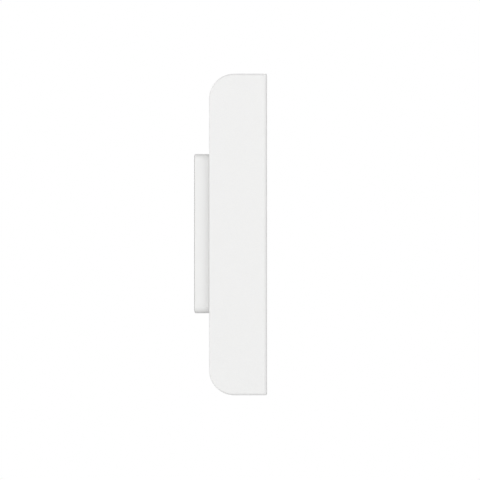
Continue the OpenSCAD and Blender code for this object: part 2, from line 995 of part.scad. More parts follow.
module reset_button() {
    floor_front = recess_floor + recess_wall;
    color("gray") unit() at(0, reset_z) turned() union() {
        band(0, reset_r, recess_floor - 0.6, floor_front + 0.3);
        band(0, 2, floor_front + 0.2, floor_front + 0.7);
        band(0, 1, floor_front + 0.6, board_back - 2.1);
    }
}

module service_socket() {
    skin = 0.35;
    mouth = recess_floor + 0.2;
    color("silver") unit() at(0, socket_z) {
        difference() {
            slab(mouth, board_back) rounded_slot(socket_w, socket_h);
            slab(mouth - 1, board_back - 1) rounded_slot(socket_w - 2 * skin, socket_h - 2 * skin);
        }
        slab(mouth + 1, board_back - 0.5) box(6.4, 0.7);
    }
}

wall_bracket();
wall_gasket();
security_screw();
rear_casing();
front_frame();
front_panel();
panel_tape();
front_seal();
vent_membrane();
rating_label();
lock_insert();
case_screws();
lens_trim();
lens_window();
lens_shroud();
lens_barrel();
lens_elements();
lens_mount();
filter_frame();
infrared_pane();
clear_pane();
filter_coil();
image_sensor();
camera_board();
camera_bracket();
camera_flex();
infrared_board();
infrared_lamps();
front_windows();
sensor_board();
light_sensor();
light_pipe();
microphone();
microphone_boot();
call_button_cap();
button_light_ring();
ring_light_board();
ring_lamps();
button_seal();
tact_switches();
switch_plunger();
speaker_mesh();
speaker_gasket();
speaker_basket();
speaker_cone();
speaker_magnet();
speaker_lead();
main_board();
board_chips();
shield_can();
antenna();
buffer_capacitors();
board_connectors();
board_screws();
terminal_block();
terminal_plates();
terminal_screw_left();
terminal_screw_right();
reset_button();
service_socket();
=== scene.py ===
"""Looks of a slim video doorbell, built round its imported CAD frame.

The frame gives every place and size. Pieces whose shape is final are carried over with their
edges rounded, round pieces are turned from profiles, and pieces that repeat or follow a path
are grown by Geometry Nodes. +Z is up, the front faces -Y and the wall is the plane y = 0.
"""
import json
import logging
import math
from abc import ABC, abstractmethod
from dataclasses import dataclass, field
from enum import Enum
from typing import Callable, Iterable, Sequence

import bmesh
import bpy
from mathutils import Matrix, Vector

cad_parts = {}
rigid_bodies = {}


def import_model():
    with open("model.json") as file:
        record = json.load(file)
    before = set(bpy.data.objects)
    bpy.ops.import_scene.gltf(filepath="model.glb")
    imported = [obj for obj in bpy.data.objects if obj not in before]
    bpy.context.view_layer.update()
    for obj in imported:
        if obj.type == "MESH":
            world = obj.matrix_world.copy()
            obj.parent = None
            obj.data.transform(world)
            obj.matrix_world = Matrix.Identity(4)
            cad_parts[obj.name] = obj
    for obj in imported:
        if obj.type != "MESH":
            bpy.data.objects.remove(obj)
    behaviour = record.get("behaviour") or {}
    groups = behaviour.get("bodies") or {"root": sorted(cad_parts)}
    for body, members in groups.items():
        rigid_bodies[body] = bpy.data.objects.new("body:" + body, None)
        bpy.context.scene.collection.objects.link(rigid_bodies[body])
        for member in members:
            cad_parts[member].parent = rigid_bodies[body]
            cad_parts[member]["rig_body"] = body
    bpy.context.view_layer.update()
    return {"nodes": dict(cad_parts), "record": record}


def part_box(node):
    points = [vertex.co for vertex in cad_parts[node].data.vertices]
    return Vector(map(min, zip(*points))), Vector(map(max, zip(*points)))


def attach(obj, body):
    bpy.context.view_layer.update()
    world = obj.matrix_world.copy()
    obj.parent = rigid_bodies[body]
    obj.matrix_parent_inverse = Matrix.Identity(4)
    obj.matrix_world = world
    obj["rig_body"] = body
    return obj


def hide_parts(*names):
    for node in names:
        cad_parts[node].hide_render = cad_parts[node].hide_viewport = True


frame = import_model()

LOG = logging.getLogger("doorbell")
MM = 0.001
QUARTER_TURN = math.pi / 2
LAMPS = 6
LAMP_CIRCLE = 15.5 * MM
FIRST_LAMP = math.radians(30)
WELD_DISTANCE = 1e-6
FLAT_ANGLE = math.radians(0.6)
SHARP_ANGLE = math.radians(28)
TURNED_SHARP_ANGLE = math.radians(24)
SWEPT_SHARP_ANGLE = math.radians(50)
WIRE_SHARP_ANGLE = math.radians(70)
WIRE_SIDES = 6
WEAVE_SPAN = 1.96
WEAVE_GAP = 1.6
COIL_PITCH = 2.1
MOST_CHIPS = 400000.0
Socket = bpy.types.NodeSocket
Colour = tuple[float, float, float, float]
Point = tuple[float, float]
Profile = Sequence[Point]


class Body(str, Enum):
    """The rigid bodies that pieces ride on."""

    BRACKET = "bracket"
    UNIT = "unit"
    SECURITY_SCREW = "security_screw"
    CALL_BUTTON = "call_button"
    RESET_BUTTON = "reset_button"
    FILTER = "filter"
    TERMINAL_LEFT = "terminal_screw_left"
    TERMINAL_RIGHT = "terminal_screw_right"


# ---------------------------------------------------------------- materials


class ShaderGraph:
    """A material with one Principled shader, whose patterns read Object coordinates."""

    def __init__(self, name: str) -> None:
        """Starts an empty material.

        Args:
            name: the material's name.
        """
        self.material = bpy.data.materials.new(name)
        self.material.use_nodes = True
        self.tree = self.material.node_tree
        self.tree.nodes.clear()
        self.shader = self.node("ShaderNodeBsdfPrincipled")
        output = self.node("ShaderNodeOutputMaterial")
        self.link(self.shader.outputs["BSDF"], output.inputs["Surface"])
        self.place = self.node("ShaderNodeTexCoord").outputs["Object"]

    def node(self, kind: str, **settings: object) -> bpy.types.Node:
        """Adds a node.

        Args:
            kind: the node's type name.
            settings: properties of the node to set.

        Returns:
            The new node.
        """
        made = self.tree.nodes.new(kind)
        for key, value in settings.items():
            setattr(made, key, value)
        return made

    def link(self, source: Socket, target: Socket) -> None:
        """Joins an output to an input."""
        self.tree.links.new(source, target)

    def feed(self, target: Socket, value: object) -> None:
        """Sets an input, or joins it to an output.

        Args:
            target: the input.
            value: a number, a colour or another node's output.
        """
        if isinstance(value, bpy.types.NodeSocket):
            self.link(value, target)
        else:
            target.default_value = value

    def surface(self, **values: object) -> None:
        """Sets the Principled shader.

        Args:
            values: its inputs, with underscores for spaces in their names.
        """
        for key, value in values.items():
            self.feed(self.shader.inputs[key.replace("_", " ")], value)

    def noise(self, scale: float, detail: float = 2.0,
              place: Socket | None = None) -> Socket:
        """Adds fine noise.

        Args:
            scale: repeats per metre.
            detail: how many finer layers it has.
            place: coordinates, or the Object coordinates if left out.

        Returns:
            The noise's value, from 0 to 1.
        """
        made = self.node("ShaderNodeTexNoise")
        made.inputs["Scale"].default_value = scale
        made.inputs["Detail"].default_value = detail
        self.link(place or self.place, made.inputs["Vector"])
        return made.outputs["Fac"]

    def cells(self, scale: float, place: Socket | None = None) -> Socket:
        """Adds scattered points.

        Args:
            scale: repeats per metre.
            place: coordinates, or the Object coordinates if left out.

        Returns:
            The distance to the nearest point.
        """
        made = self.node("ShaderNodeTexVoronoi")
        made.inputs["Scale"].default_value = scale
        self.link(place or self.place, made.inputs["Vector"])
        return made.outputs["Distance"]

    def mapped(self, setting: str, values: Sequence[float]) -> Socket:
        """Moves or stretches the Object coordinates.

        Args:
            setting: Location or Scale.
            values: the shift or the factor along each axis.

        Returns:
            The new coordinates.
        """
        made = self.node("ShaderNodeMapping", vector_type="POINT")
        made.inputs[setting].default_value = values
        self.link(self.place, made.inputs["Vector"])
        return made.outputs["Vector"]

    def math(self, operation: str, a: object, b: object = 0.0, c: object = 0.0) -> Socket:
        """Works one sum.

        Args:
            operation: the sum's name.
            a: its first number, or an output that gives it.
            b: its second.
            c: its third.

        Returns:
            The result.
        """
        made = self.node("ShaderNodeMath", operation=operation)
        for target, value in zip(made.inputs, (a, b, c)):
            self.feed(target, value)
        return made.outputs[0]

    def ranged(self, value: Socket, ends: str, low: float, high: float) -> Socket:
        """Maps one range of a value onto another, where one of the two is 0 to 1.

        Args:
            value: the value.
            ends: From or To, for the range that isn't 0 to 1.
            low: that range's start.
            high: its end.

        Returns:
            The mapped value.
        """
        made = self.node("ShaderNodeMapRange")
        self.feed(made.inputs["Value"], value)
        made.inputs[ends + " Min"].default_value = low
        made.inputs[ends + " Max"].default_value = high
        return made.outputs["Result"]

    def spread(self, value: Socket, low: float, high: float) -> Socket:
        """Maps a value's 0 to 1 onto low to high."""
        return self.ranged(value, "To", low, high)

    def uneven(self, value: Socket, roughness: float) -> Socket:
        """Lets a pattern vary a roughness, more towards dull than towards glossy."""
        return self.spread(value, roughness - 0.06, roughness + 0.1)

    def window(self, value: Socket, start: float, end: float) -> Socket:
        """A value's 0 to 1 ramp between two thresholds."""
        return self.ranged(value, "From", start, end)

    def blend(self, factor: object, first: object, second: object) -> Socket:
        """Mixes two colours.

        Args:
            factor: how much of the second one there is.
            first: the colour at 0.
            second: the colour at 1.

        Returns:
            The mixed colour.
        """
        made = self.node("ShaderNodeMix", data_type="RGBA")
        self.feed(made.inputs["Factor"], factor)
        self.feed(made.inputs[6], first)
        self.feed(made.inputs[7], second)
        return made.outputs[2]

    def bump(self, height: Socket, distance: float, below: Socket | None = None) -> Socket:
        """A normal that follows a height.

        Args:
            height: the height, from 0 to 1.
            distance: how deep the whole range is, in metres.
            below: another bump that this one lies on.

        Returns:
            The normal.
        """
        made = self.node("ShaderNodeBump")
        made.inputs["Distance"].default_value = distance
        self.link(height, made.inputs["Height"])
        if below is not None:
            self.link(below, made.inputs["Normal"])
        return made.outputs["Normal"]

    def radius_from(self, centre: Vector | Sequence[float]) -> Socket:
        """Measures the distance from an axis along Y.

        Args:
            centre: a point on the axis.

        Returns:
            The distance, in metres.
        """
        split = self.node("ShaderNodeSeparateXYZ")
        self.link(self.mapped("Location", [-x for x in centre]), split.inputs[0])
        squares = [self.math("MULTIPLY", split.outputs[i], split.outputs[i]) for i in (0, 2)]
        return self.math("SQRT", self.math("ADD", *squares))


def rgb(red: float, green: float, blue: float) -> Colour:
    """An opaque colour."""
    return (red, green, blue, 1.0)


def toned(colour: Colour, factor: float, lift: float = 0.0) -> Colour:
    """A colour darkened or lightened by a factor, then lifted a little."""
    return rgb(*[min(1.0, part * factor + lift) for part in colour[:3]])


@dataclass(frozen=True)
class Finish(ABC):
    """A finish that paints one material, once. Its scales are repeats per metre."""

    name: str

    @abstractmethod
    def paint(self, graph: ShaderGraph) -> None:
        """Fills in the material's graph."""

    def material(self) -> bpy.types.Material:
        """Makes the finish's material the first time that it is asked for.

        Returns:
            The material.
        """
        found = bpy.data.materials.get(self.name)
        if found is None:
            graph = ShaderGraph(self.name)
            self.paint(graph)
            found = graph.material
        return found


@dataclass(frozen=True)
class MouldedPlastic(Finish):
    """Matt plastic with the fine grain of a spark-eroded mould."""

    colour: Colour
    roughness: float = 0.5
    grain: float = 0.012 * MM
    mottle: float = 0.03
    gloss: float = 0.4
    grain_scale: float = 2600
    ripple_scale: float = 320
    mottle_scale: float = 90
    mottle_share: float = 0.35

    def paint(self, graph: ShaderGraph) -> None:
        """Grain as bump, and a faint mottle in colour and roughness.

        Args:
            graph: the material's graph.
        """
        fine = graph.noise(self.grain_scale, 3)
        broad = graph.noise(self.mottle_scale, 3)
        speckle = graph.math("MULTIPLY", graph.window(fine, 0.36, 0.62), 1 - self.mottle_share)
        mix = graph.math("MULTIPLY_ADD", broad, self.mottle_share, speckle)
        tone = graph.blend(mix, toned(self.colour, 1 - self.mottle), self.colour)
        low = graph.bump(graph.noise(self.ripple_scale), self.grain)
        graph.surface(Base_Color=tone, Specular_IOR_Level=self.gloss,
                      Roughness=graph.uneven(fine, self.roughness),
                      Normal=graph.bump(fine, self.grain, low))


@dataclass(frozen=True)
class GlossPanel(Finish):
    """Polished black sheet with a printed back: deep, with faint wipe marks."""

    colour: Colour
    roughness: float = 0.05
    wipe_scale: float = 30
    dust_scale: float = 420
    dust_colour: Colour = rgb(0.12, 0.12, 0.12)
    ripple_scale: float = 140
    ripple: float = 0.0015 * MM

    def paint(self, graph: ShaderGraph) -> None:
        """Long faint wipe marks and a few dust specks in the roughness.

        Args:
            graph: the material's graph.
        """
        wipes = graph.noise(self.wipe_scale, 4, graph.mapped("Scale", (1.0, 1.0, 0.25)))
        dust = graph.window(graph.cells(self.dust_scale), 0.06, 0.03)
        marks = graph.spread(graph.window(wipes, 0.45, 0.75), self.roughness, self.roughness + 0.07)
        dusty = graph.blend(graph.math("MULTIPLY", dust, 0.1), self.colour, self.dust_colour)
        graph.surface(Base_Color=dusty, Roughness=marks, Specular_IOR_Level=0.5, IOR=1.49,
                      Normal=graph.bump(graph.noise(self.ripple_scale, 1), self.ripple))


@dataclass(frozen=True)
class SoftRubber(Finish):
    """Dull rubber or silicone with a dusty bloom."""

    colour: Colour
    bloom_scale: float = 220
    grain_scale: float = 1500
    grain: float = 0.01 * MM

    def paint(self, graph: ShaderGraph) -> None:
        """A pale bloom in patches, and a soft grain.

        Args:
            graph: the material's graph.
        """
        bloom = graph.window(graph.noise(self.bloom_scale, 4), 0.4, 0.75)
        pale = toned(self.colour, 1.7, 0.012)
        dusty = graph.blend(graph.math("MULTIPLY", bloom, 0.5), self.colour, pale)
        graph.surface(Base_Color=dusty,
                      Roughness=graph.spread(bloom, 0.62, 0.8), Specular_IOR_Level=0.35,
                      Normal=graph.bump(graph.noise(self.grain_scale), self.grain))


@dataclass(frozen=True)
class WorkedMetal(Finish):
    """Metal with a directional or turned finish."""

    colour: Colour
    roughness: float = 0.3
    along: tuple[float, float, float] = (1.0, 1.0, 0.05)
    turned_about: tuple[float, float, float] | None = None
    groove_scale: float = 2200
    ring_scale: float = 4200
    tarnish_scale: float = 160
    groove: float = 0.003 * MM

    def paint(self, graph: ShaderGraph) -> None:
        """Fine grooves along one direction, or rings round an axis, and faint tarnish.

        Args:
            graph: the material's graph.
        """
        if self.turned_about is None:
            grooves = graph.noise(self.groove_scale, 3, graph.mapped("Scale", self.along))
        else:
            radius = graph.radius_from(self.turned_about)
            joined = graph.node("ShaderNodeCombineXYZ")
            graph.link(radius, joined.inputs[0])
            grooves = graph.noise(self.ring_scale, 2, joined.outputs[0])
        tarnish = graph.noise(self.tarnish_scale, 4)
        dull = toned(self.colour, 0.82)
        stained = graph.blend(graph.spread(tarnish, 0.0, 0.6), self.colour, dull)
        graph.surface(Metallic=1.0, Base_Color=stained,
                      Roughness=graph.uneven(grooves, self.roughness),
                      Normal=graph.bump(grooves, self.groove))


@dataclass(frozen=True)
class ClearGlass(Finish):
    """Clear or smoked glass or resin, coated where film is above 0."""

    colour: Colour
    roughness: float = 0.0
    ior: float = 1.5
    film: float = 0.0
    clear: float = 1.0
    film_ior: float = 1.38
    smear_scale: float = 110

    def paint(self, graph: ShaderGraph) -> None:
        """Transmission with a trace of smears, and a thin film on coated lenses.

        Args:
            graph: the material's graph.
        """
        smears = graph.window(graph.noise(self.smear_scale, 3), 0.5, 0.8)
        faint = graph.math("MULTIPLY", smears, 0.15)
        graph.surface(Base_Color=graph.blend(faint, self.colour, toned(self.colour, 0.9)),
                      Roughness=graph.spread(smears, self.roughness, self.roughness + 0.015),
                      Transmission_Weight=self.clear, IOR=self.ior,
                      Thin_Film_Thickness=self.film, Thin_Film_IOR=self.film_ior)


@dataclass(frozen=True)
class MilkyResin(Finish):
    """Translucent white resin that spreads the light of the lamps behind it."""

    colour: Colour
    glow: float = 0.0
    scatter: tuple[float, float, float] = (1.2 * MM, 1.2 * MM, 1.3 * MM)
    cloud_scale: float = 260
    grain_scale: float = 900
    grain: float = 0.004 * MM

    def paint(self, graph: ShaderGraph) -> None:
        """Soft scattering with a faint grain.

        Args:
            graph: the material's graph.
        """
        cloud = graph.noise(self.cloud_scale, 3)
        graph.surface(Base_Color=graph.blend(cloud, self.colour, toned(self.colour, 0.93)),
                      Roughness=graph.spread(cloud, 0.24, 0.36), Subsurface_Weight=0.4,
                      Subsurface_Radius=self.scatter, Subsurface_Scale=1.0,
                      Emission_Color=self.colour, Emission_Strength=self.glow,
                      Normal=graph.bump(graph.noise(self.grain_scale), self.grain))


@dataclass(frozen=True)
class CircuitBoard(Finish):
    """Solder mask over copper tracks, with tinned pads and vias."""

    mask: Colour
    track: Colour
    solder: Colour = rgb(0.62, 0.6, 0.52)
    track_scale: float = 420
    track_depth: float = 0.02 * MM
    via_scale: float = 520

    def paint(self, graph: ShaderGraph) -> None:
        """Tracks as the edges of square cells, and vias as small round spots.

        Args:
            graph: the material's graph.
        """
        cells = graph.node("ShaderNodeTexVoronoi", distance="CHEBYCHEV", feature="F1")
        cells.inputs["Scale"].default_value = self.track_scale
        graph.link(graph.place, cells.inputs["Vector"])
        runs = graph.window(graph.math("PINGPONG", cells.outputs["Distance"], 0.12), 0.03, 0.05)
        vias = graph.window(graph.cells(self.via_scale), 0.13, 0.1)
        board = graph.blend(runs, self.track, self.mask)
        graph.surface(Base_Color=graph.blend(vias, board, self.solder),
                      Roughness=graph.spread(vias, 0.38, 0.25),
                      Metallic=graph.math("MULTIPLY", vias, 0.8),
                      Normal=graph.bump(runs, self.track_depth))


@dataclass(frozen=True)
class WovenCloth(Finish):
    """Fine woven or porous sheet."""

    colour: Colour
    pitch: float = 0.25 * MM
    bands: float = 0.31
    waver: float = 0.4
    thread: float = 0.05 * MM

    def paint(self, graph: ShaderGraph) -> None:
        """Two crossed rows of threads, with painted shade where the threads lie low.

        Args:
            graph: the material's graph.
        """
        threads = []
        for axis in ("X", "Z"):
            wave = graph.node("ShaderNodeTexWave", bands_direction=axis)
            wave.inputs["Scale"].default_value = self.bands / self.pitch
            wave.inputs["Distortion"].default_value = self.waver
            graph.link(graph.place, wave.inputs["Vector"])
            threads.append(wave.outputs["Fac"])
        height = graph.math("MAXIMUM", *threads)
        # Painted shade: the colour falls to 0.4 of the thread colour in the low gaps between the
        # threads.
        graph.surface(Base_Color=graph.blend(height, toned(self.colour, 0.4), self.colour),
                      Roughness=0.8, Normal=graph.bump(height, self.thread))


SLOTS: dict[str, str] = {
    part["node"]: part["material_slot"] for part in frame["record"]["subparts"]}
WHITE = rgb(0.84, 0.84, 0.835)
INK = rgb(0.012, 0.012, 0.014)
FINISHES: dict[str, Finish] = {
    "white_plastic": MouldedPlastic("white_casing_plastic", WHITE, roughness=0.48),
    "dark_plastic": MouldedPlastic("dark_moulding", rgb(0.03, 0.03, 0.033), mottle=0.2),
    "panel_black": GlossPanel("polished_black_front", INK),
    "dark_rubber": SoftRubber("seal_rubber", rgb(0.03, 0.03, 0.032)),
    "tape": SoftRubber("foam_tape", rgb(0.02, 0.02, 0.021)),
    "membrane": WovenCloth("porous_membrane", rgb(0.75, 0.75, 0.73), 0.18 * MM),
    "label": MouldedPlastic("blank_label_film", rgb(0.55, 0.56, 0.57), 0.3, grain=0.003 * MM),
    "screw_steel": WorkedMetal("zinc_plated_steel", rgb(0.6, 0.6, 0.62), roughness=0.28),
    "brass": WorkedMetal("turned_brass", rgb(0.74, 0.53, 0.24), roughness=0.25),
    "trim_metal": WorkedMetal("dark_anodised_trim", rgb(0.09, 0.09, 0.1), roughness=0.3),
    "window_clear": ClearGlass("clear_window", rgb(0.96, 0.98, 0.98)),
    "window_smoked": ClearGlass("smoked_window", rgb(0.09, 0.012, 0.03), 0.03, clear=0.85),
    "lens_glass": ClearGlass("coated_lens", rgb(0.9, 0.93, 1.0), film=480.0, ior=1.7),
    "infrared_filter": ClearGlass("filter_glass", rgb(0.3, 0.6, 0.62), film=300.0),
    "circuit_board": CircuitBoard(
        "green_circuit_board", rgb(0.006, 0.09, 0.03), rgb(0.012, 0.16, 0.05)),
    "white_board": CircuitBoard("white_circuit_board", rgb(0.72, 0.72, 0.7), rgb(0.8, 0.8, 0.78)),
    "chip_black": MouldedPlastic("chip_resin", rgb(0.018, 0.018, 0.02), roughness=0.6, mottle=0.3),
    "sensor_glass": GlossPanel("sensor_cover", rgb(0.02, 0.035, 0.05)),
    "flex_film": MouldedPlastic("amber_film", rgb(0.5, 0.2, 0.02), roughness=0.25, gloss=0.6),
    "copper": WorkedMetal("enamelled_copper", rgb(0.72, 0.32, 0.14), along=(0.05, 1.0, 1.0)),
    "lamp_clear": ClearGlass("lamp_resin", rgb(0.93, 0.95, 0.97), 0.05),
    "ring_lamp": MilkyResin("lamp_phosphor", rgb(0.9, 0.8, 0.35)),
    "button_metal": WorkedMetal("satin_button", rgb(0.62, 0.63, 0.65), roughness=0.3),
    "ring_milky": MilkyResin("milky_ring", rgb(0.82, 0.86, 0.9)),
    "mesh_black": WovenCloth("acoustic_mesh", rgb(0.03, 0.03, 0.03)),
    "speaker_steel": WorkedMetal("speaker_cup", rgb(0.5, 0.5, 0.5), roughness=0.35),
    "cone_film": MouldedPlastic("speaker_film", rgb(0.05, 0.05, 0.05), roughness=0.35, mottle=0.2),
    "magnet": WorkedMetal("nickel_magnet", rgb(0.5, 0.5, 0.49), roughness=0.22),
    "lead_red": SoftRubber("red_insulation", rgb(0.4, 0.02, 0.015)),
    "tin_plate": WorkedMetal("tinned_sheet", rgb(0.66, 0.66, 0.65), 0.26, (0.05, 1.0, 1.0)),
    "capacitor_sleeve": MouldedPlastic(
        "capacitor_sleeve", rgb(0.015, 0.02, 0.06), roughness=0.25, gloss=0.6),
    "ivory_plastic": MouldedPlastic("ivory_moulding", rgb(0.7, 0.66, 0.52), roughness=0.4),
    "green_plastic": MouldedPlastic("terminal_moulding", rgb(0.03, 0.2, 0.07), roughness=0.4),
    "button_grey": MouldedPlastic("grey_moulding", rgb(0.28, 0.29, 0.3), roughness=0.42),
    "plunger_brown": MouldedPlastic("brown_moulding", rgb(0.2, 0.08, 0.03), roughness=0.4),
}


# ---------------------------------------------------------------- meshes


@dataclass(frozen=True)
class Place:
    """The box of a CAD node, in metres."""

    low: Vector
    high: Vector

    @classmethod
    def of(cls, node: str) -> "Place":
        """The box of the node with this name."""
        return cls(*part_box(node))

    @property
    def centre(self) -> Vector:
        """The middle of the box."""
        return (self.low + self.high) / 2

    @property
    def size(self) -> Vector:
        """The box's three sides."""
        return self.high - self.low


@dataclass(frozen=True)
class EdgeRule:
    """How wide the edges whose middle passes a test are rounded, in metres.

    The width may grow along a run of edges, to a second width where rising gives 1.
    """

    width: float
    applies: Callable[[Vector], bool]
    second_width: float = 0.0
    rising: Callable[[Vector], float] | None = None

    def at(self, middle: Vector) -> float:
        """Works out one edge's width.

        Args:
            middle: the edge's middle.

        Returns:
            The width, in metres.
        """
        if self.rising is None:
            return self.width
        share = min(1.0, max(0.0, self.rising(middle)))
        return self.width + (self.second_width - self.width) * share


def add_object(name: str, mesh: bpy.types.Mesh) -> bpy.types.Object:
    """Puts a mesh into the scene.

    Args:
        name: the object's name.
        mesh: its mesh.

    Returns:
        The object, at the origin.
    """
    made = bpy.data.objects.new(name, mesh)
    bpy.context.scene.collection.objects.link(made)
    return made


def from_bmesh(name: str, bm: bmesh.types.BMesh) -> bpy.types.Object:
    """Turns a bmesh into an object and frees it.

    Args:
        name: the object's name.
        bm: its mesh.

    Returns:
        The object.
    """
    mesh = bpy.data.meshes.new(name)
    bm.to_mesh(mesh)
    bm.free()
    return add_object(name, mesh)


def settle(obj: bpy.types.Object) -> None:
    """Applies an object's modifiers, so that it is a plain mesh.

    Args:
        obj: the object.
    """
    graph = bpy.context.evaluated_depsgraph_get()
    mesh = bpy.data.meshes.new_from_object(obj.evaluated_get(graph))
    obj.modifiers.clear()
    obj.data = mesh


def smooth(obj: bpy.types.Object, angle: float = SHARP_ANGLE) -> None:
    """Shades an object smooth, with creases at its sharp edges.

    Args:
        obj: the object.
        angle: how far faces turn at a sharp edge, in radians.
    """
    bm = bmesh.new()
    bm.from_mesh(obj.data)
    for face in bm.faces:
        face.smooth = True
    for edge in bm.edges:
        edge.smooth = len(edge.link_faces) != 2 or edge.calc_face_angle(0.0) < angle
    bm.to_mesh(obj.data)
    bm.free()


def welded_copy(node: str) -> bmesh.types.BMesh:
    """Merges the loose triangles of a CAD node's mesh into flat faces.

    Args:
        node: the node.

    Returns:
        The new mesh.
    """
    bm = bmesh.new()
    bm.from_mesh(frame["nodes"][node].data)
    bmesh.ops.remove_doubles(bm, verts=bm.verts, dist=WELD_DISTANCE)
    bmesh.ops.dissolve_limit(bm, angle_limit=FLAT_ANGLE, verts=bm.verts, edges=bm.edges)
    return bm


def round_edges(obj: bpy.types.Object, width: float, segments: int, weighted: bool) -> None:
    """Rounds an object's edges, keeps its flat faces flat in shading, and applies both.

    Args:
        obj: the object.
        width: the widest rounding, in metres.
        segments: steps in each rounding.
        weighted: take each edge's own share of the width, or else round every sharp edge.
    """
    bevel = obj.modifiers.new("rounding", "BEVEL")
    bevel.limit_method = "WEIGHT" if weighted else "ANGLE"
    bevel.angle_limit = SHARP_ANGLE
    bevel.width = width
    bevel.segments = segments
    bevel.miter_outer = "MITER_ARC"
    bevel.use_clamp_overlap = False
    normals = obj.modifiers.new("flat_faces", "WEIGHTED_NORMAL")
    normals.weight = 100
    normals.keep_sharp = True
    settle(obj)


def softened(name: str, node: str, rules: Sequence[EdgeRule], segments: int = 3,
             adjust: Callable[[Vector], Vector] | None = None) -> bpy.types.Object:
    """Copies a CAD node with chosen edges rounded.

    Args:
        name: the new piece's name.
        node: the CAD node.
        rules: tried in order on the middle of each sharp edge; the first that applies counts.
        segments: steps in each rounding.
        adjust: where each corner goes before the rounding, if any moves.

    Returns:
        The new piece.
    """
    bm = welded_copy(node)
    for corner in bm.verts if adjust else ():
        corner.co = adjust(corner.co)
    widest = max(max(rule.width, rule.second_width) for rule in rules)
    share = bm.edges.layers.float.new("bevel_weight_edge")
    for edge in bm.edges:
        if len(edge.link_faces) != 2 or edge.calc_face_angle(0.0) < SHARP_ANGLE:
            continue
        middle = (edge.verts[0].co + edge.verts[1].co) / 2
        found = next((rule for rule in rules if rule.applies(middle)), None)
        if found:
            edge[share] = found.at(middle) / widest
    obj = from_bmesh(name, bm)
    smooth(obj)
    round_edges(obj, widest, segments, weighted=True)
    return obj


def turned(name: str, centre: Vector, profiles: Sequence[Profile],
           segments: int = 96) -> bpy.types.Object:
    """Turns solids about an axis along Y.

    Args:
        name: the piece's name.
        centre: any point on the axis.
        profiles: closed outlines of (radius, y) points, in metres.
        segments: steps round the axis.

    Returns:
        The piece, shaded smooth with creases at its corners.
    """
    bm = bmesh.new()
    for profile in profiles:
        rings = [[(centre.x + r * math.cos(a), y, centre.z + r * math.sin(a)) for r, y in profile]
                 for a in (math.tau * k / segments for k in range(segments))]
        verts = [[bm.verts.new(place) for place in ring] for ring in rings]
        for k, ring in enumerate(verts):
            after = verts[(k + 1) % segments]
            for i in range(len(profile)):
                j = (i + 1) % len(profile)
                if max(profile[i][0], profile[j][0]) > WELD_DISTANCE:
                    bm.faces.new((ring[i], ring[j], after[j], after[i]))
    bmesh.ops.remove_doubles(bm, verts=bm.verts, dist=WELD_DISTANCE)
    bmesh.ops.recalc_face_normals(bm, faces=bm.faces)
    obj = from_bmesh(name, bm)
    smooth(obj, TURNED_SHARP_ANGLE)
    return obj


def arc(centre: Point, radius: float, start: float, end: float, steps: int = 6) -> list[Point]:
    """Draws an arc of a profile.

    Args:
        centre: its centre.
        radius: its radius.
        start: the angle where it starts, in degrees.
        end: the angle where it ends.
        steps: how many steps it has.

    Returns:
        Its points.
    """
    angles = [math.radians(start + (end - start) * i / steps) for i in range(steps + 1)]
    return [(centre[0] + radius * math.cos(a), centre[1] + radius * math.sin(a)) for a in angles]


def dress(obj: bpy.types.Object, body: Body, slot: str, *replaced: str,
          finish: Finish | None = None) -> None:
    """Gives a piece its finish, its body and the nodes that it stands for.

    Args:
        obj: the finished piece.
        body: the body that it rides on.
        slot: the record's material slot.
        replaced: the CAD nodes that it replaces.
        finish: a finish of its own, if the slot's isn't the one.
    """
    obj.data.materials.clear()
    obj.data.materials.append((finish or FINISHES[slot]).material())
    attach(obj, body.value)
    if replaced:
        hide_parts(*replaced)
    LOG.info("%s rides on %s, %d faces", obj.name, body.value, len(obj.data.polygons))


# ---------------------------------------------------------------- geometry nodes


class Kind(str, Enum):
    """Kinds of input that a tree can have."""

    GEOMETRY = "NodeSocketGeometry"
    LENGTH = "NodeSocketFloat"
    COUNT = "NodeSocketInt"
    POINT = "NodeSocketVector"
    PART = "NodeSocketObject"
    FINISH = "NodeSocketMaterial"


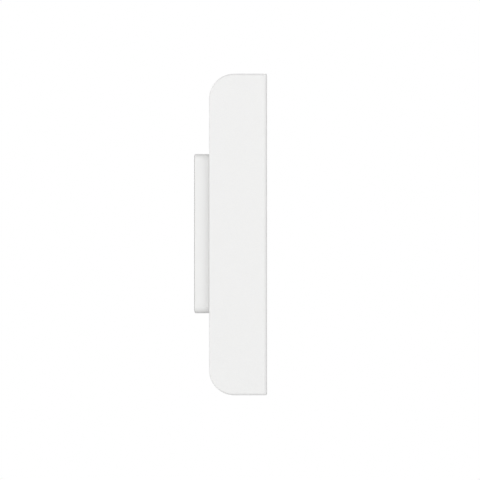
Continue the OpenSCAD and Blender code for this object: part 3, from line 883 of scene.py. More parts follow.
class GeometryTree:
    """A Geometry Nodes tree with named inputs that ends in plain, painted mesh."""

    def __init__(self, name: str) -> None:
        """Starts an empty tree.

        Args:
            name: the tree's name.
        """
        self.group = bpy.data.node_groups.new(name, "GeometryNodeTree")
        for way in ("INPUT", "OUTPUT"):
            self.group.interface.new_socket("Geometry", in_out=way, socket_type=Kind.GEOMETRY.value)
        self.source = self.group.nodes.new("NodeGroupInput")
        self.result = self.group.nodes.new("NodeGroupOutput")
        self.keys: dict[str, str] = {}

    def input(self, name: str, kind: Kind) -> Socket:
        """Adds a named input.

        Args:
            name: its name.
            kind: what it takes.

        Returns:
            The socket that gives it inside the tree.
        """
        item = self.group.interface.new_socket(name, in_out="INPUT", socket_type=kind.value)
        self.keys[name] = item.identifier
        return next(s for s in self.source.outputs if s.identifier == item.identifier)

    def inputs(self, **kinds: Kind) -> list[Socket]:
        """Adds inputs in order, with underscores for spaces, and returns their sockets."""
        return [self.input(name.replace("_", " "), kind) for name, kind in kinds.items()]

    def node(self, kind: str, inputs: dict[object, object] | None = None,
             **settings: object) -> bpy.types.Node:
        """Adds a node.

        Args:
            kind: the node's type name.
            inputs: what its inputs, by name or number, are set or joined to.
            settings: properties of the node to set.

        Returns:
            The new node.
        """
        made = self.group.nodes.new(kind)
        for key, value in settings.items():
            setattr(made, key, value)
        for key, value in (inputs or {}).items():
            if isinstance(value, bpy.types.NodeSocket):
                self.group.links.new(value, made.inputs[key])
            else:
                made.inputs[key].default_value = value
        return made

    def first(self, kind: str, inputs: dict[object, object] | None = None,
              **settings: object) -> Socket:
        """Adds a node, as node() does, and returns its first output."""
        return self.node(kind, inputs, **settings).outputs[0]

    def maths(self, operation: str, a: object, b: object = 0.0) -> Socket:
        """Works one sum on sockets or numbers and returns its result."""
        return self.first("ShaderNodeMath", {0: a, 1: b}, operation=operation)

    def times(self, a: object, b: object) -> Socket:
        """The product of two sockets or numbers."""
        return self.maths("MULTIPLY", a, b)

    def vector(self, x: object = 0.0, y: object = 0.0, z: object = 0.0) -> Socket:
        """Joins three numbers or sockets into a vector."""
        return self.first("ShaderNodeCombineXYZ", {0: x, 1: y, 2: z})

    def moved(self, geometry: Socket, **how: object) -> Socket:
        """Moves, turns or scales geometry, with Translation, Rotation or Scale."""
        return self.first("GeometryNodeTransform", {"Geometry": geometry, **how})

    def upright(self, geometry: Socket, centre: Socket) -> Socket:
        """Stands what was drawn in the XY plane up in XZ, round a centre."""
        return self.moved(geometry, Rotation=(QUARTER_TURN, 0, 0), Translation=centre)

    def copies(self, points: Socket, instance: Socket, **how: object) -> Socket:
        """Stands instances on points, with Rotation or Scale."""
        inputs = {"Points": points, "Instance": instance, **how}
        return self.first("GeometryNodeInstanceOnPoints", inputs)

    def part(self, source: Socket) -> Socket:
        """The mesh of the object that an input holds."""
        return self.node("GeometryNodeObjectInfo", {"Object": source}).outputs["Geometry"]

    def close(self, geometry: Socket) -> "GeometryTree":
        """Ends the tree: instances become mesh, and the mesh gets the finish.

        Args:
            geometry: what the tree has made.

        Returns:
            The tree.
        """
        finish = self.input("Finish", Kind.FINISH)
        real = self.first("GeometryNodeRealizeInstances", {"Geometry": geometry})
        painted = self.first("GeometryNodeSetMaterial", {"Geometry": real, "Material": finish})
        self.group.links.new(painted, self.result.inputs[0])
        return self

    def grow(self, name: str, finish: Finish, **values: object) -> bpy.types.Object:
        """Runs the tree and keeps its result as a plain mesh.

        Args:
            name: the piece's name.
            finish: the finish that the tree sets.
            values: the inputs, with underscores for spaces in their names.

        Returns:
            The piece, with no modifier.
        """
        obj = add_object(name, bpy.data.meshes.new(name))
        nodes = obj.modifiers.new("nodes", "NODES")
        nodes.node_group = self.group
        for key, value in {"Finish": finish.material(), **values}.items():
            given = value[:] if isinstance(value, Vector) else value
            nodes[self.keys[key.replace("_", " ")]] = given
        settle(obj)
        for value in values.values():
            if isinstance(value, bpy.types.Object):
                bpy.data.objects.remove(value)
        return obj


def ring_of_parts() -> GeometryTree:
    """Draws a tree that stands copies of a part on a circle, each turned to face outwards.

    Returns:
        The tree, with the inputs Part, Centre, Radius, Count and Start.
    """
    tree = GeometryTree("ring_of_parts")
    part, centre, radius, count, start = tree.inputs(
        Part=Kind.PART, Centre=Kind.POINT, Radius=Kind.LENGTH, Count=Kind.COUNT,
        Start=Kind.LENGTH)
    ring = tree.first("GeometryNodeMeshCircle", {"Vertices": count, "Radius": radius})
    places = tree.upright(tree.moved(ring, Rotation=tree.vector(z=start)), centre)
    step = tree.maths("DIVIDE", math.tau, count)
    angle = tree.maths("ADD", start, tree.times(tree.first("GeometryNodeInputIndex"), step))
    turn = tree.vector(y=tree.times(angle, -1.0))
    return tree.close(tree.copies(places, tree.part(part), Rotation=turn))


def grid_of_parts() -> GeometryTree:
    """Draws a tree that stands copies of a part on an upright grid.

    Returns:
        The tree, with the inputs Part, Centre, Width, Height, Columns and Rows.
    """
    tree = GeometryTree("grid_of_parts")
    part, centre, width, height, columns, rows = tree.inputs(
        Part=Kind.PART, Centre=Kind.POINT, Width=Kind.LENGTH, Height=Kind.LENGTH,
        Columns=Kind.COUNT, Rows=Kind.COUNT)
    grid = tree.first("GeometryNodeMeshGrid", {
        "Size X": width, "Size Y": height, "Vertices X": columns, "Vertices Y": rows})
    return tree.close(tree.copies(tree.upright(grid, centre), tree.part(part)))


def rounded_outline(tree: GeometryTree, sides: tuple[Socket, Socket], radius: Socket,
                    steps: int) -> Socket:
    """Draws a rectangle with rounded corners.

    Args:
        tree: the tree that it belongs to.
        sides: its width and height.
        radius: its corners' radius.
        steps: steps in each corner.

    Returns:
        The outline, as a curve.
    """
    box = tree.first("GeometryNodeCurvePrimitiveQuadrilateral", {
        "Width": sides[0], "Height": sides[1]})
    return tree.first("GeometryNodeFilletCurve", {
        "Curve": box, "Radius": radius, "Count": steps, "Limit Radius": True}, mode="POLY")


def swept_frame() -> GeometryTree:
    """Draws a tree that sweeps a rounded section along an upright rounded rectangle.

    Returns:
        The tree, with the inputs Centre, Width, Height, Corner, Section width, Section depth
        and Section corner.
    """
    tree = GeometryTree("swept_frame")
    centre, width, height, corner, wide, deep, round_off = tree.inputs(
        Centre=Kind.POINT, Width=Kind.LENGTH, Height=Kind.LENGTH, Corner=Kind.LENGTH,
        Section_width=Kind.LENGTH, Section_depth=Kind.LENGTH, Section_corner=Kind.LENGTH)
    swept = tree.first("GeometryNodeCurveToMesh", {
        "Curve": rounded_outline(tree, (width, height), corner, 10),
        "Profile Curve": rounded_outline(tree, (wide, deep), round_off, 4)})
    return tree.close(tree.upright(swept, centre))


def woven_disc() -> GeometryTree:
    """Draws a tree that crosses two layers of wires and trims both to a disc.

    Returns:
        The tree, with the inputs Centre, Radius, Pitch and Wire.
    """
    tree = GeometryTree("woven_disc")
    centre, radius, pitch, wire = tree.inputs(
        Centre=Kind.POINT, Radius=Kind.LENGTH, Pitch=Kind.LENGTH, Wire=Kind.LENGTH)
    span = tree.times(radius, WEAVE_SPAN)
    count = tree.maths("ADD", tree.maths("FLOOR", tree.maths("DIVIDE", span, pitch)), 1.0)
    run = tree.first("GeometryNodeMeshLine", {
        "Count": count, "Start Location": tree.vector(x=tree.times(span, -0.5)),
        "Offset": tree.vector(x=pitch)}, mode="OFFSET")
    place = tree.first("GeometryNodeInputPosition")
    across = tree.first("ShaderNodeSeparateXYZ", {0: place})
    squares = tree.maths("SUBTRACT", tree.times(radius, radius), tree.times(across, across))
    half = tree.maths("SQRT", tree.maths("MAXIMUM", squares, 0.0))
    thread = tree.first("GeometryNodeMeshCylinder", {
        "Vertices": WIRE_SIDES, "Radius": wire, "Depth": 2.0})
    lying = tree.moved(thread, Rotation=(QUARTER_TURN, 0, 0))
    layer = tree.copies(run, lying, Scale=tree.vector(1.0, half, 1.0))
    crossed = tree.moved(layer, Rotation=(0, 0, QUARTER_TURN),
                         Translation=tree.vector(z=tree.times(wire, WEAVE_GAP)))
    both = tree.node("GeometryNodeJoinGeometry")
    for threads in (layer, crossed):
        tree.group.links.new(threads, both.inputs[0])
    return tree.close(tree.upright(both.outputs[0], centre))


def wound_coil() -> GeometryTree:
    """Draws a tree that winds a wire round an axis along X.

    Returns:
        The tree, with the inputs Centre, Length, Radius and Wire.
    """
    tree = GeometryTree("wound_coil")
    centre, length, radius, wire = tree.inputs(
        Centre=Kind.POINT, Length=Kind.LENGTH, Radius=Kind.LENGTH, Wire=Kind.LENGTH)
    turns = tree.maths("DIVIDE", length, tree.times(wire, COIL_PITCH))
    helix = tree.first("GeometryNodeCurveSpiral", {
        "Resolution": 20, "Rotations": turns, "Start Radius": radius, "End Radius": radius,
        "Height": length})
    section = tree.first("GeometryNodeCurvePrimitiveCircle", {
        "Resolution": WIRE_SIDES, "Radius": wire})
    wound = tree.first("GeometryNodeCurveToMesh", {
        "Curve": helix, "Profile Curve": section, "Fill Caps": True})
    middled = tree.moved(wound, Translation=tree.vector(z=tree.times(length, -0.5)))
    return tree.close(tree.moved(middled, Rotation=(0, QUARTER_TURN, 0), Translation=centre))


def scattered_chips() -> GeometryTree:
    """Draws a tree that scatters small components over an upright patch of board.

    Returns:
        The tree, with the inputs Centre, Width, Height, Spacing, Chip and Seed.
    """
    tree = GeometryTree("scattered_chips")
    centre, width, height, spacing, size, seed = tree.inputs(
        Centre=Kind.POINT, Width=Kind.LENGTH, Height=Kind.LENGTH, Spacing=Kind.LENGTH,
        Chip=Kind.POINT, Seed=Kind.COUNT)
    patch = tree.first("GeometryNodeMeshGrid", {
        "Size X": width, "Size Y": height, "Vertices X": 2, "Vertices Y": 2})
    points = tree.first("GeometryNodeDistributePointsOnFaces", {
        "Mesh": patch, "Distance Min": spacing, "Density Max": MOST_CHIPS,
        "Density Factor": 1.0, "Seed": seed}, distribute_method="POISSON")
    chip = tree.first("GeometryNodeMeshCube", {"Size": size})
    quarter = tree.node("FunctionNodeRandomValue", {"Min": 0, "Max": 3, "Seed": seed},
                        data_type="INT")
    turn = tree.vector(z=tree.times(quarter.outputs[2], QUARTER_TURN))
    return tree.close(tree.upright(tree.copies(points, chip, Rotation=turn), centre))


# ---------------------------------------------------------------- sub-assemblies


def everywhere(_: Vector) -> bool:
    """A test that every edge passes."""
    return True


def body_of(node: str) -> Body:
    """The body that a CAD node rides on."""
    return Body(frame["nodes"][node]["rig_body"])


def recalculate(obj: bpy.types.Object) -> None:
    """Merges an object's doubles and makes its faces point outwards.

    Args:
        obj: the object.
    """
    bm = bmesh.new()
    bm.from_mesh(obj.data)
    bmesh.ops.remove_doubles(bm, verts=bm.verts, dist=WELD_DISTANCE)
    bmesh.ops.recalc_face_normals(bm, faces=bm.faces)
    bm.to_mesh(obj.data)
    bm.free()


def one_of(node: str, side: Vector, width: float) -> bpy.types.Object:
    """Cuts out one of a node's separate solids, centred in X and Z, for a tree to copy.

    Args:
        node: the node that holds several alike.
        side: signs that say in which quarter of the node the wanted one lies.
        width: how wide its edges are rounded, in metres.

    Returns:
        The solid.
    """
    box = Place.of(node)
    bm = welded_copy(node)
    lost = [v for v in bm.verts if any((v.co[i] - box.centre[i]) * side[i] < 0 for i in (0, 2))]
    bmesh.ops.delete(bm, geom=lost, context="VERTS")
    spans = [[v.co[i] for v in bm.verts] for i in (0, 2)]
    middle = [(min(span) + max(span)) / 2 for span in spans]
    bmesh.ops.translate(bm, verts=bm.verts, vec=(-middle[0], 0, -middle[1]))
    obj = from_bmesh(node + "_one", bm)
    smooth(obj)
    round_edges(obj, width, 2, weighted=False)
    return obj


class SubAssembly(ABC):
    """A part of the doorbell that builds and dresses its own pieces."""

    @abstractmethod
    def build(self) -> None:
        """Makes every piece of the sub-assembly."""

    def carry(self, widths: dict[str, float], segments: int = 2) -> None:
        """Carries nodes over with their sharp edges rounded.

        Args:
            widths: how wide each node's edges are rounded, in metres.
            segments: steps in each rounding.
        """
        for node, width in widths.items():
            piece = softened(node + "_piece", node, [EdgeRule(width, everywhere)], segments)
            dress(piece, body_of(node), SLOTS[node], node)

    def repaint(self, *nodes: str) -> None:
        """Gives nodes that keep their own mesh the finish of their slot.

        Args:
            nodes: the nodes.
        """
        for node in nodes:
            mesh = frame["nodes"][node].data
            mesh.materials.clear()
            mesh.materials.append(FINISHES[SLOTS[node]].material())
            LOG.info("%s keeps its mesh", node)

    def chips(self, name: str, area: "ChipArea") -> None:
        """Scatters small components over an area: their bodies, and their tinned ends.

        Args:
            name: start of the two pieces' names.
            area: where they lie.
        """
        tree = scattered_chips()
        for part, slot, share, low in (("bodies", area.slot, area.body_share, 1.0),
                                       ("ends", "tin_plate", 1.0, area.end_height)):
            size = area.length * Vector((share, area.chip_width, area.chip_height * low))
            centre = area.centre + Vector((0, area.outward * size.z / 2, 0))
            piece = tree.grow(f"{name}_{part}", FINISHES[slot], Centre=centre, Width=area.width,
                              Height=area.height, Spacing=area.spacing, Chip=size, Seed=area.seed)
            dress(piece, Body.UNIT, slot)


@dataclass(frozen=True)
class ChipArea:
    """A patch of board that carries small components.

    The components' other sizes are shares of their length.
    """

    centre: Vector
    width: float
    height: float
    outward: float
    length: float
    spacing: float = 1.5 * MM
    slot: str = "chip_black"
    seed: int = 1
    chip_width: float = 0.5
    chip_height: float = 0.42
    body_share: float = 0.62
    end_height: float = 0.86


@dataclass
class WallBracket(SubAssembly):
    """The plate on the wall, its gasket and the screw that locks the unit to it."""

    plate_front: float = -6.5 * MM
    outer_edge: float = 0.4 * MM
    front_edge: float = 0.12 * MM
    stand_off: float = 0.1 * MM
    rim: float = 2.3 * MM
    window_edge: float = 0.2 * MM
    window_half: float = 11.0 * MM
    hook_edge: float = 0.12 * MM
    hook_base: float = 3.2 * MM
    corner: float = 3.0 * MM
    gasket_width: float = 1.2 * MM
    gasket_corner: float = 2.5 * MM
    gasket_round: float = 0.25 * MM
    screw_edge: float = 0.12 * MM
    near: float = 0.05 * MM

    def build(self) -> None:
        """Makes the bracket moulding, gasket and security screw."""
        self.moulding()
        self.gasket()
        self.carry({"security_screw": self.screw_edge})

    def moulding(self) -> None:
        """Makes the moulded plate with its four hooks."""
        box = Place.of("wall_bracket")

        def outline(point: Vector) -> bool:
            """Says whether a point is on the plate's rounded outline.

            Args:
                point: the point.

            Returns:
                True if it is.
            """
            across = abs(point.x) - box.high.x + self.corner
            along = abs(point.z) - box.high.z + self.corner
            return math.hypot(max(across, 0.0), max(along, 0.0)) > self.corner - self.near

        def on_plane(point: Vector, y: float) -> bool:
            """Says whether a point is on the plane at this y."""
            return abs(point.y - y) < self.near

        def stood_off(point: Vector) -> Vector:
            """Moves the rim's wall side off the wall.

            Args:
                point: a corner of the CAD mesh.

            Returns:
                Where it goes.
            """
            rim = any(abs(point[i]) > box.high[i] - self.rim for i in (0, 2))
            low = on_plane(point, 0) and rim
            return Vector((point.x, -self.stand_off, point.z)) if low else point

        rules = [
            EdgeRule(self.outer_edge, lambda p: outline(p) and on_plane(p, -self.stand_off)),
            EdgeRule(self.front_edge, lambda p: outline(p) and on_plane(p, self.plate_front)),
            EdgeRule(self.hook_edge, lambda p: p.y < self.plate_front - self.hook_base),
            EdgeRule(self.window_edge,
                     lambda p: on_plane(p, self.plate_front) and abs(p.x) < self.window_half),
        ]
        finish = MouldedPlastic("white_bracket_plastic", rgb(0.80, 0.80, 0.795), roughness=0.52)
        plate = softened("bracket_moulding", "wall_bracket", rules, 4, stood_off)
        dress(plate, Body.BRACKET, "white_plastic", "wall_bracket", finish=finish)

    def gasket(self) -> None:
        """Sweeps the rubber gasket round the bracket's edge, flush with the wall face."""
        box = Place.of("wall_gasket")
        half = self.gasket_width / 2
        piece = swept_frame().grow(
            "bracket_gasket", FINISHES["dark_rubber"], Centre=box.centre,
            Width=box.size.x - 2 * half, Height=box.size.z - 2 * half,
            Corner=self.gasket_corner - half, Section_width=self.gasket_width,
            Section_depth=box.size.y, Section_corner=self.gasket_round)
        recalculate(piece)
        smooth(piece, SWEPT_SHARP_ANGLE)
        dress(piece, Body.BRACKET, "dark_rubber", "wall_gasket")


@dataclass
class Casing(SubAssembly):
    """The moulded rear casing and what is fixed to its outside."""

    back: float = -6.6 * MM
    side_edge: float = 0.45 * MM
    side_front_edge: float = 1.5 * MM
    side_end_edge: float = 1.1 * MM
    rear_radius: float = 11.0 * MM
    front_edge: float = 0.4 * MM
    mouth_edge: float = 0.18 * MM
    rear_edge: float = 0.16 * MM
    label_edge: float = 0.06 * MM
    insert_edge: float = 0.12 * MM
    screw_edge: float = 0.15 * MM
    screw_head: float = 2.7 * MM
    near: float = 0.03 * MM

    def build(self) -> None:
        """Makes the casing shell, screws, vent, label and lock insert."""
        self.shell()
        self.screws()
        self.vent()
        label = softened("blank_label", "rating_label", [EdgeRule(self.label_edge, everywhere)], 2)
        dress(label, Body.UNIT, "label", "rating_label")
        self.carry({"lock_insert": self.insert_edge})

    def shell(self) -> None:
        """Makes the casing, with a soft fillet round both side faces."""
        box = Place.of("rear_casing")
        near = self.near

        def on_side(point: Vector) -> bool:
            """Says whether a point is on a side face."""
            return box.high.x - abs(point.x) < near

        def on_front(point: Vector) -> bool:
            """Says whether a point is on the front rim."""
            return point.y - box.low.y < near

        def on_end(point: Vector) -> bool:
            """Says whether a point is on the top or the bottom face."""
            return abs(point.z - box.centre.z) > box.size.z / 2 - near

        rules = [
            EdgeRule(self.side_front_edge, lambda p: on_side(p) and on_front(p)),
            EdgeRule(self.side_edge, on_side, self.side_end_edge,
                     lambda p: (self.back - p.y) / self.rear_radius),
            EdgeRule(self.front_edge, lambda p: on_front(p) and on_end(p)),
            EdgeRule(self.mouth_edge, on_front),
            EdgeRule(self.rear_edge,
                     lambda p: abs(p.y - self.back) < near or p.y > self.back + near),
        ]
        shell = softened("casing_shell", "rear_casing", rules, 5)
        dress(shell, Body.UNIT, "white_plastic", "rear_casing")

    def screws(self) -> None:
        """Grows the four case screws from one."""
        box = Place.of("case_screws")
        one = one_of("case_screws", Vector((1, 0, 1)), self.screw_edge)
        piece = grid_of_parts().grow(
            "case_screw_set", FINISHES["screw_steel"], Part=one,
            Centre=Vector((0, 0, box.centre.z)), Width=box.size.x - 2 * self.screw_head,
            Height=box.size.z - 2 * self.screw_head, Columns=2, Rows=2)
        dress(piece, Body.UNIT, "screw_steel", "case_screws")

    def vent(self) -> None:
        """Turns the round membrane over the vent, with a pressed ring."""
        box = Place.of("vent_membrane")
        r, near, far = box.size.x / 2, box.low.y, box.high.y
        edge, groove = 0.1 * MM, far - 0.12 * MM
        profile = [(0, near), (r, near), *arc((r - edge, far - edge), edge, 0, 90, 3),
                   (r - 0.8 * MM, far), (r - 1.0 * MM, groove), (r - 1.3 * MM, groove),
                   (r - 1.5 * MM, far), (0, far)]
        disc = turned("vent_disc", box.centre, [profile], 64)
        dress(disc, Body.UNIT, "membrane", "vent_membrane")


def forward(points: Iterable[Point]) -> Profile:
    """Makes a profile from (radius, distance from the wall) points in millimetres."""
    return [(r * MM, -far * MM) for r, far in points]


@dataclass
class FrontPanel(SubAssembly):
    """The glossy front sheet, its frame, tape and seal, and the small windows in it."""

    outline_edge: float = 0.2 * MM
    hole_edge: float = 0.08 * MM
    outline_zone: float = 0.9 * MM
    seal_edge: float = 0.07 * MM
    window_radius: float = 1.75
    light_window_radius: float = 1.55
    window_front: float = 31.6
    window_back: float = 30.45
    window_dome: float = 0.12
    near: float = 0.03 * MM

    def build(self) -> None:
        """Makes the sheet, windows, frame, tape and seal."""
        self.sheet()
        self.small_windows()
        self.repaint("front_frame", "panel_tape")
        self.carry({"front_seal": self.seal_edge})

    def sheet(self) -> None:
        """Makes the front sheet, with its outline rounded and its holes lightly broken."""
        box = Place.of("front_panel")
        face, zone = box.low.y + self.near, self.outline_zone

        def outline(point: Vector) -> bool:
            """Says whether a point is near the sheet's outline.

            Args:
                point: the point.

            Returns:
                True if it is.
            """
            return (abs(point.x) > box.high.x - zone
                    or abs(point.z - box.centre.z) > box.size.z / 2 - zone)

        rules = [
            EdgeRule(self.outline_edge, lambda p: p.y < face and outline(p)),
            EdgeRule(self.hole_edge, lambda p: p.y < face),
        ]
        sheet = softened("front_sheet", "front_panel", rules, 4)
        dress(sheet, Body.UNIT, "panel_black", "front_panel")

    def window(self, name: str, centre: Vector, radius: float) -> bpy.types.Object:
        """Turns a round window with a slightly domed face.

        Args:
            name: the piece's name.
            centre: a point on its axis.
            radius: its radius in millimetres.

        Returns:
            The window.
        """
        front, back = self.window_front, self.window_back
        dome = [(radius * k / 6, front - self.window_dome * (k / 6) ** 2) for k in range(1, 6)]
        outline = [(0, front), *dome, (radius - 0.08, front - 0.14), (radius, front - 0.24),
                   (radius, back), (0, back)]
        return turned(name, centre, [forward(outline)], 40)

    def small_windows(self) -> None:
        """Makes a ring of windows over the infrared lamps, and one over the light sensor."""
        camera = Place.of("lens_window").centre
        piece = ring_of_parts().grow(
            "lamp_window_ring", FINISHES["window_smoked"],
            Part=self.window("lamp_window", Vector(), self.window_radius),
            Centre=Vector((camera.x, 0, camera.z)), Radius=LAMP_CIRCLE, Count=LAMPS,
            Start=FIRST_LAMP)
        dress(piece, Body.UNIT, "window_smoked", "front_windows")
        sensor = Place.of("light_pipe").centre
        piece = self.window("light_window", sensor, self.light_window_radius)
        dress(piece, Body.UNIT, "window_smoked", "front_windows")


@dataclass
class Camera(SubAssembly):
    """The lens and all that stands behind it, and the infrared lamps round it."""

    trim_radius: float = 12.4
    trim_front: float = 31.7
    glass_radius: float = 9.0
    glass_front: float = 31.1
    glass_back: float = 30.0
    barrel_radius: float = 6.0
    barrel_front: float = 28.8
    barrel_back: float = 20.8
    lamp_radius: float = 1.5
    lamp_board_front: float = 27.2
    coil_radius: float = 2.2
    flange: float = 0.5 * MM
    wire: float = 0.08 * MM
    thread_turns: int = 9
    thread_pitch: float = 0.5
    thread_depth: float = 0.28
    axis: Vector = field(init=False)

    def build(self) -> None:
        """Makes the trim, glass, lens, filter and boards."""
        self.axis = Place.of("lens_window").centre
        self.trim()
        self.glass()
        self.shroud()
        self.barrel()
        self.lenses()
        self.lamps()
        self.coil()
        self.carry({
            "lens_mount": 0.06 * MM, "infrared_pane": 0.04 * MM,
            "clear_pane": 0.04 * MM, "camera_board": 0.08 * MM, "camera_bracket": 0.12 * MM,
            "camera_flex": 0.03 * MM, "infrared_board": 0.08 * MM})
        self.repaint("filter_frame")
        self.sensor()
        back = Place.of("camera_board").high.y
        centre = Vector((0, back - 1.0 * MM, self.axis.z + 10.3 * MM))
        self.chips("camera_parts", ChipArea(centre, 20 * MM, 3.4 * MM, -1.0, 0.8 * MM, seed=7))

    def trim(self) -> None:
        """Turns the metal ring round the glass, with a stepped cone inside it."""
        r, front, glass = self.trim_radius, self.trim_front, self.glass_radius
        cone = []
        for k in range(4):
            at = glass + 1.45 - k * 0.34
            level = front - k * 0.17
            cone += [(at, level), (at - 0.06, level - 0.13)]
        bore, foot, shoulder, groove = 8.2, 27.0, 30.15, front - 0.07
        outline = [(bore, foot), (r - 0.7, foot), (r - 0.7, shoulder), (r, shoulder),
                   *arc((r - 0.2, front - 0.2), 0.2, 0, 90, 5), (r - 0.55, front),
                   (r - 0.62, groove), (r - 0.78, groove), (r - 0.85, front), *cone,
                   (glass + 0.1, 31.0), (glass + 0.1, self.glass_back), (bore, self.glass_back)]
        self.place("lens_trim_ring", [outline], "trim_metal", "lens_trim", segments=128)

    def glass(self) -> None:
        """Turns the cover glass, with a bevelled edge, and the black ring printed behind it."""
        r, front, back = self.glass_radius, self.glass_front, self.glass_back
        outline = [(0, front), (r - 0.25, front), (r, front - 0.22), (r, back), (0, back)]
        self.place("cover_glass", [outline], "window_clear", "lens_window")
        ring = [(6.3, back), (8.15, back), (8.15, back - 0.05), (6.3, back - 0.05)]
        self.place("cover_glass_print", [ring], "panel_black")

    def shroud(self) -> None:
        """Turns the rubber cone behind the glass, with fine steps that stop stray light."""
        box = Place.of("lens_shroud")
        back, front, outer = -box.high.y / MM, -box.low.y / MM, box.size.x / 2 / MM
        steps = 5
        inner = []
        for k in range(steps):
            level = back + (front - back) * k / steps
            at = 6.15 + 1.2 * k / steps
            inner += [(at, level), (at, level + (front - back) / steps)]
        outline = [(outer, back), (outer, front), *reversed(inner)]
        self.place("light_baffle", [outline], "dark_rubber", "lens_shroud")

    def barrel(self) -> None:
        """Turns the threaded lens barrel, with a stepped mouth."""
        r, front, back = self.barrel_radius, self.barrel_front, self.barrel_back
        pitch, root, lead = self.thread_pitch, r - self.thread_depth, 0.6
        thread = []
        for k in range(self.thread_turns):
            level = back + lead + k * pitch
            thread += [(root, level), (r, level + pitch * 0.5)]
        top = back + lead + self.thread_turns * pitch
        mouth = [(5.4, front), (5.25, front - 0.3), (5.0, front - 0.3), (4.8, front - 0.6),
                 (4.8, front - 2.2), (3.6, front - 2.2), (3.6, back)]
        outline = [(5.5, back), (root, back + 0.3), *thread, (root, top), (r, top + 0.3),
                   *arc((r - 0.25, front - 0.25), 0.25, 0, 90, 4), *mouth]
        self.place("threaded_barrel", [outline], "dark_plastic", "lens_barrel")

    def lenses(self) -> None:
        """Turns a domed front lens and two curved ones behind it."""
        front = self.barrel_front
        dome = [(6 * math.sin(a), front - 6.2 + 6 * math.cos(a)) for a in
                (math.radians(47.5 * k / 12) for k in range(13))]
        hollow = [(3.6 * k / 6, front - 1.75 - 0.38 * (k / 6) ** 2) for k in range(6, 0, -1)]
        first = [*dome, (4.42, front - 2.15), *hollow, (0, front - 1.75)]
        shapes = [first]
        for top, bottom in ((front - 2.9, front - 4.2), (front - 5.1, front - 6.4)):
            crown = [(3.5 * k / 6, top - 0.35 * (k / 6) ** 2) for k in range(7)]
            belly = [(3.5 * k / 6, bottom + 0.3 * (k / 6) ** 2) for k in range(6, -1, -1)]
            shapes.append([*crown, *belly])
        self.place("lens_stack", shapes, "lens_glass", "lens_elements", segments=80)

    def lamps(self) -> None:
        """Makes the ring of domed infrared lamps behind their windows."""
        r, foot = self.lamp_radius, self.lamp_board_front
        dome = arc((0, foot + r + 0.05), r - 0.12, 0, 90, 8)
        outline = [(0, foot), (r, foot), (r, foot + 0.35), (r - 0.12, foot + 0.45), *dome]
        part = turned("infrared_lamp", Vector(), [forward(outline)], 28)
        piece = ring_of_parts().grow(
            "infrared_lamp_ring", FINISHES["lamp_clear"], Part=part,
            Centre=Vector((self.axis.x, 0, self.axis.z)), Radius=LAMP_CIRCLE, Count=LAMPS,
            Start=FIRST_LAMP)
        dress(piece, Body.UNIT, "lamp_clear", "infrared_lamps")

    def coil(self) -> None:
        """Makes the filter's coil: wire wound on a bobbin that lies across the mount."""
        box = Place.of("filter_coil")
        half, r, flange = box.size.x / 2, self.coil_radius * MM, self.flange
        outline = [(0, -half), (r, -half), (r, flange - half), (r * 0.6, flange - half),
                   (r * 0.6, half - flange), (r, half - flange), (r, half), (0, half)]
        bobbin = turned("coil_bobbin", Vector(), [outline], 40)
        across = Matrix.Rotation(QUARTER_TURN, 4, "Z")
        bobbin.data.transform(Matrix.Translation(box.centre) @ across)
        dress(bobbin, Body.UNIT, "ivory_plastic", "filter_coil")
        winding = wound_coil().grow(
            "coil_winding", FINISHES["copper"], Centre=box.centre, Length=box.size.x - 3 * flange,
            Radius=r - self.wire * 1.6, Wire=self.wire)
        recalculate(winding)
        smooth(winding, WIRE_SHARP_ANGLE)
        dress(winding, Body.UNIT, "copper", "filter_coil")

    def sensor(self) -> None:
        """Makes the image sensor, with a pale bonded rim round its dark window."""
        box = Place.of("image_sensor")
        self.carry({"image_sensor": 0.08 * MM})
        rim = swept_frame().grow(
            "sensor_rim", FINISHES["ivory_plastic"],
            Centre=Vector((box.centre.x, box.low.y + 0.02 * MM, box.centre.z)),
            Width=box.size.x - 0.8 * MM, Height=box.size.z - 0.8 * MM, Corner=0.2 * MM,
            Section_width=0.5 * MM, Section_depth=0.12 * MM, Section_corner=0.03 * MM)
        recalculate(rim)
        smooth(rim, SWEPT_SHARP_ANGLE)
        dress(rim, Body.UNIT, "ivory_plastic")

    def place(self, name: str, shapes: Sequence[Profile], slot: str, *replaced: str,
              segments: int = 96) -> None:
        """Turns shapes round the lens's axis and dresses them as one piece.

        Args:
            name: the piece's name.
            shapes: closed outlines of (radius, distance from the wall), in millimetres.
            slot: the record's material slot.
            replaced: the CAD nodes that it replaces.
            segments: steps round the axis.
        """
        piece = turned(name, self.axis, [forward(shape) for shape in shapes], segments)
        dress(piece, Body.UNIT, slot, *replaced)


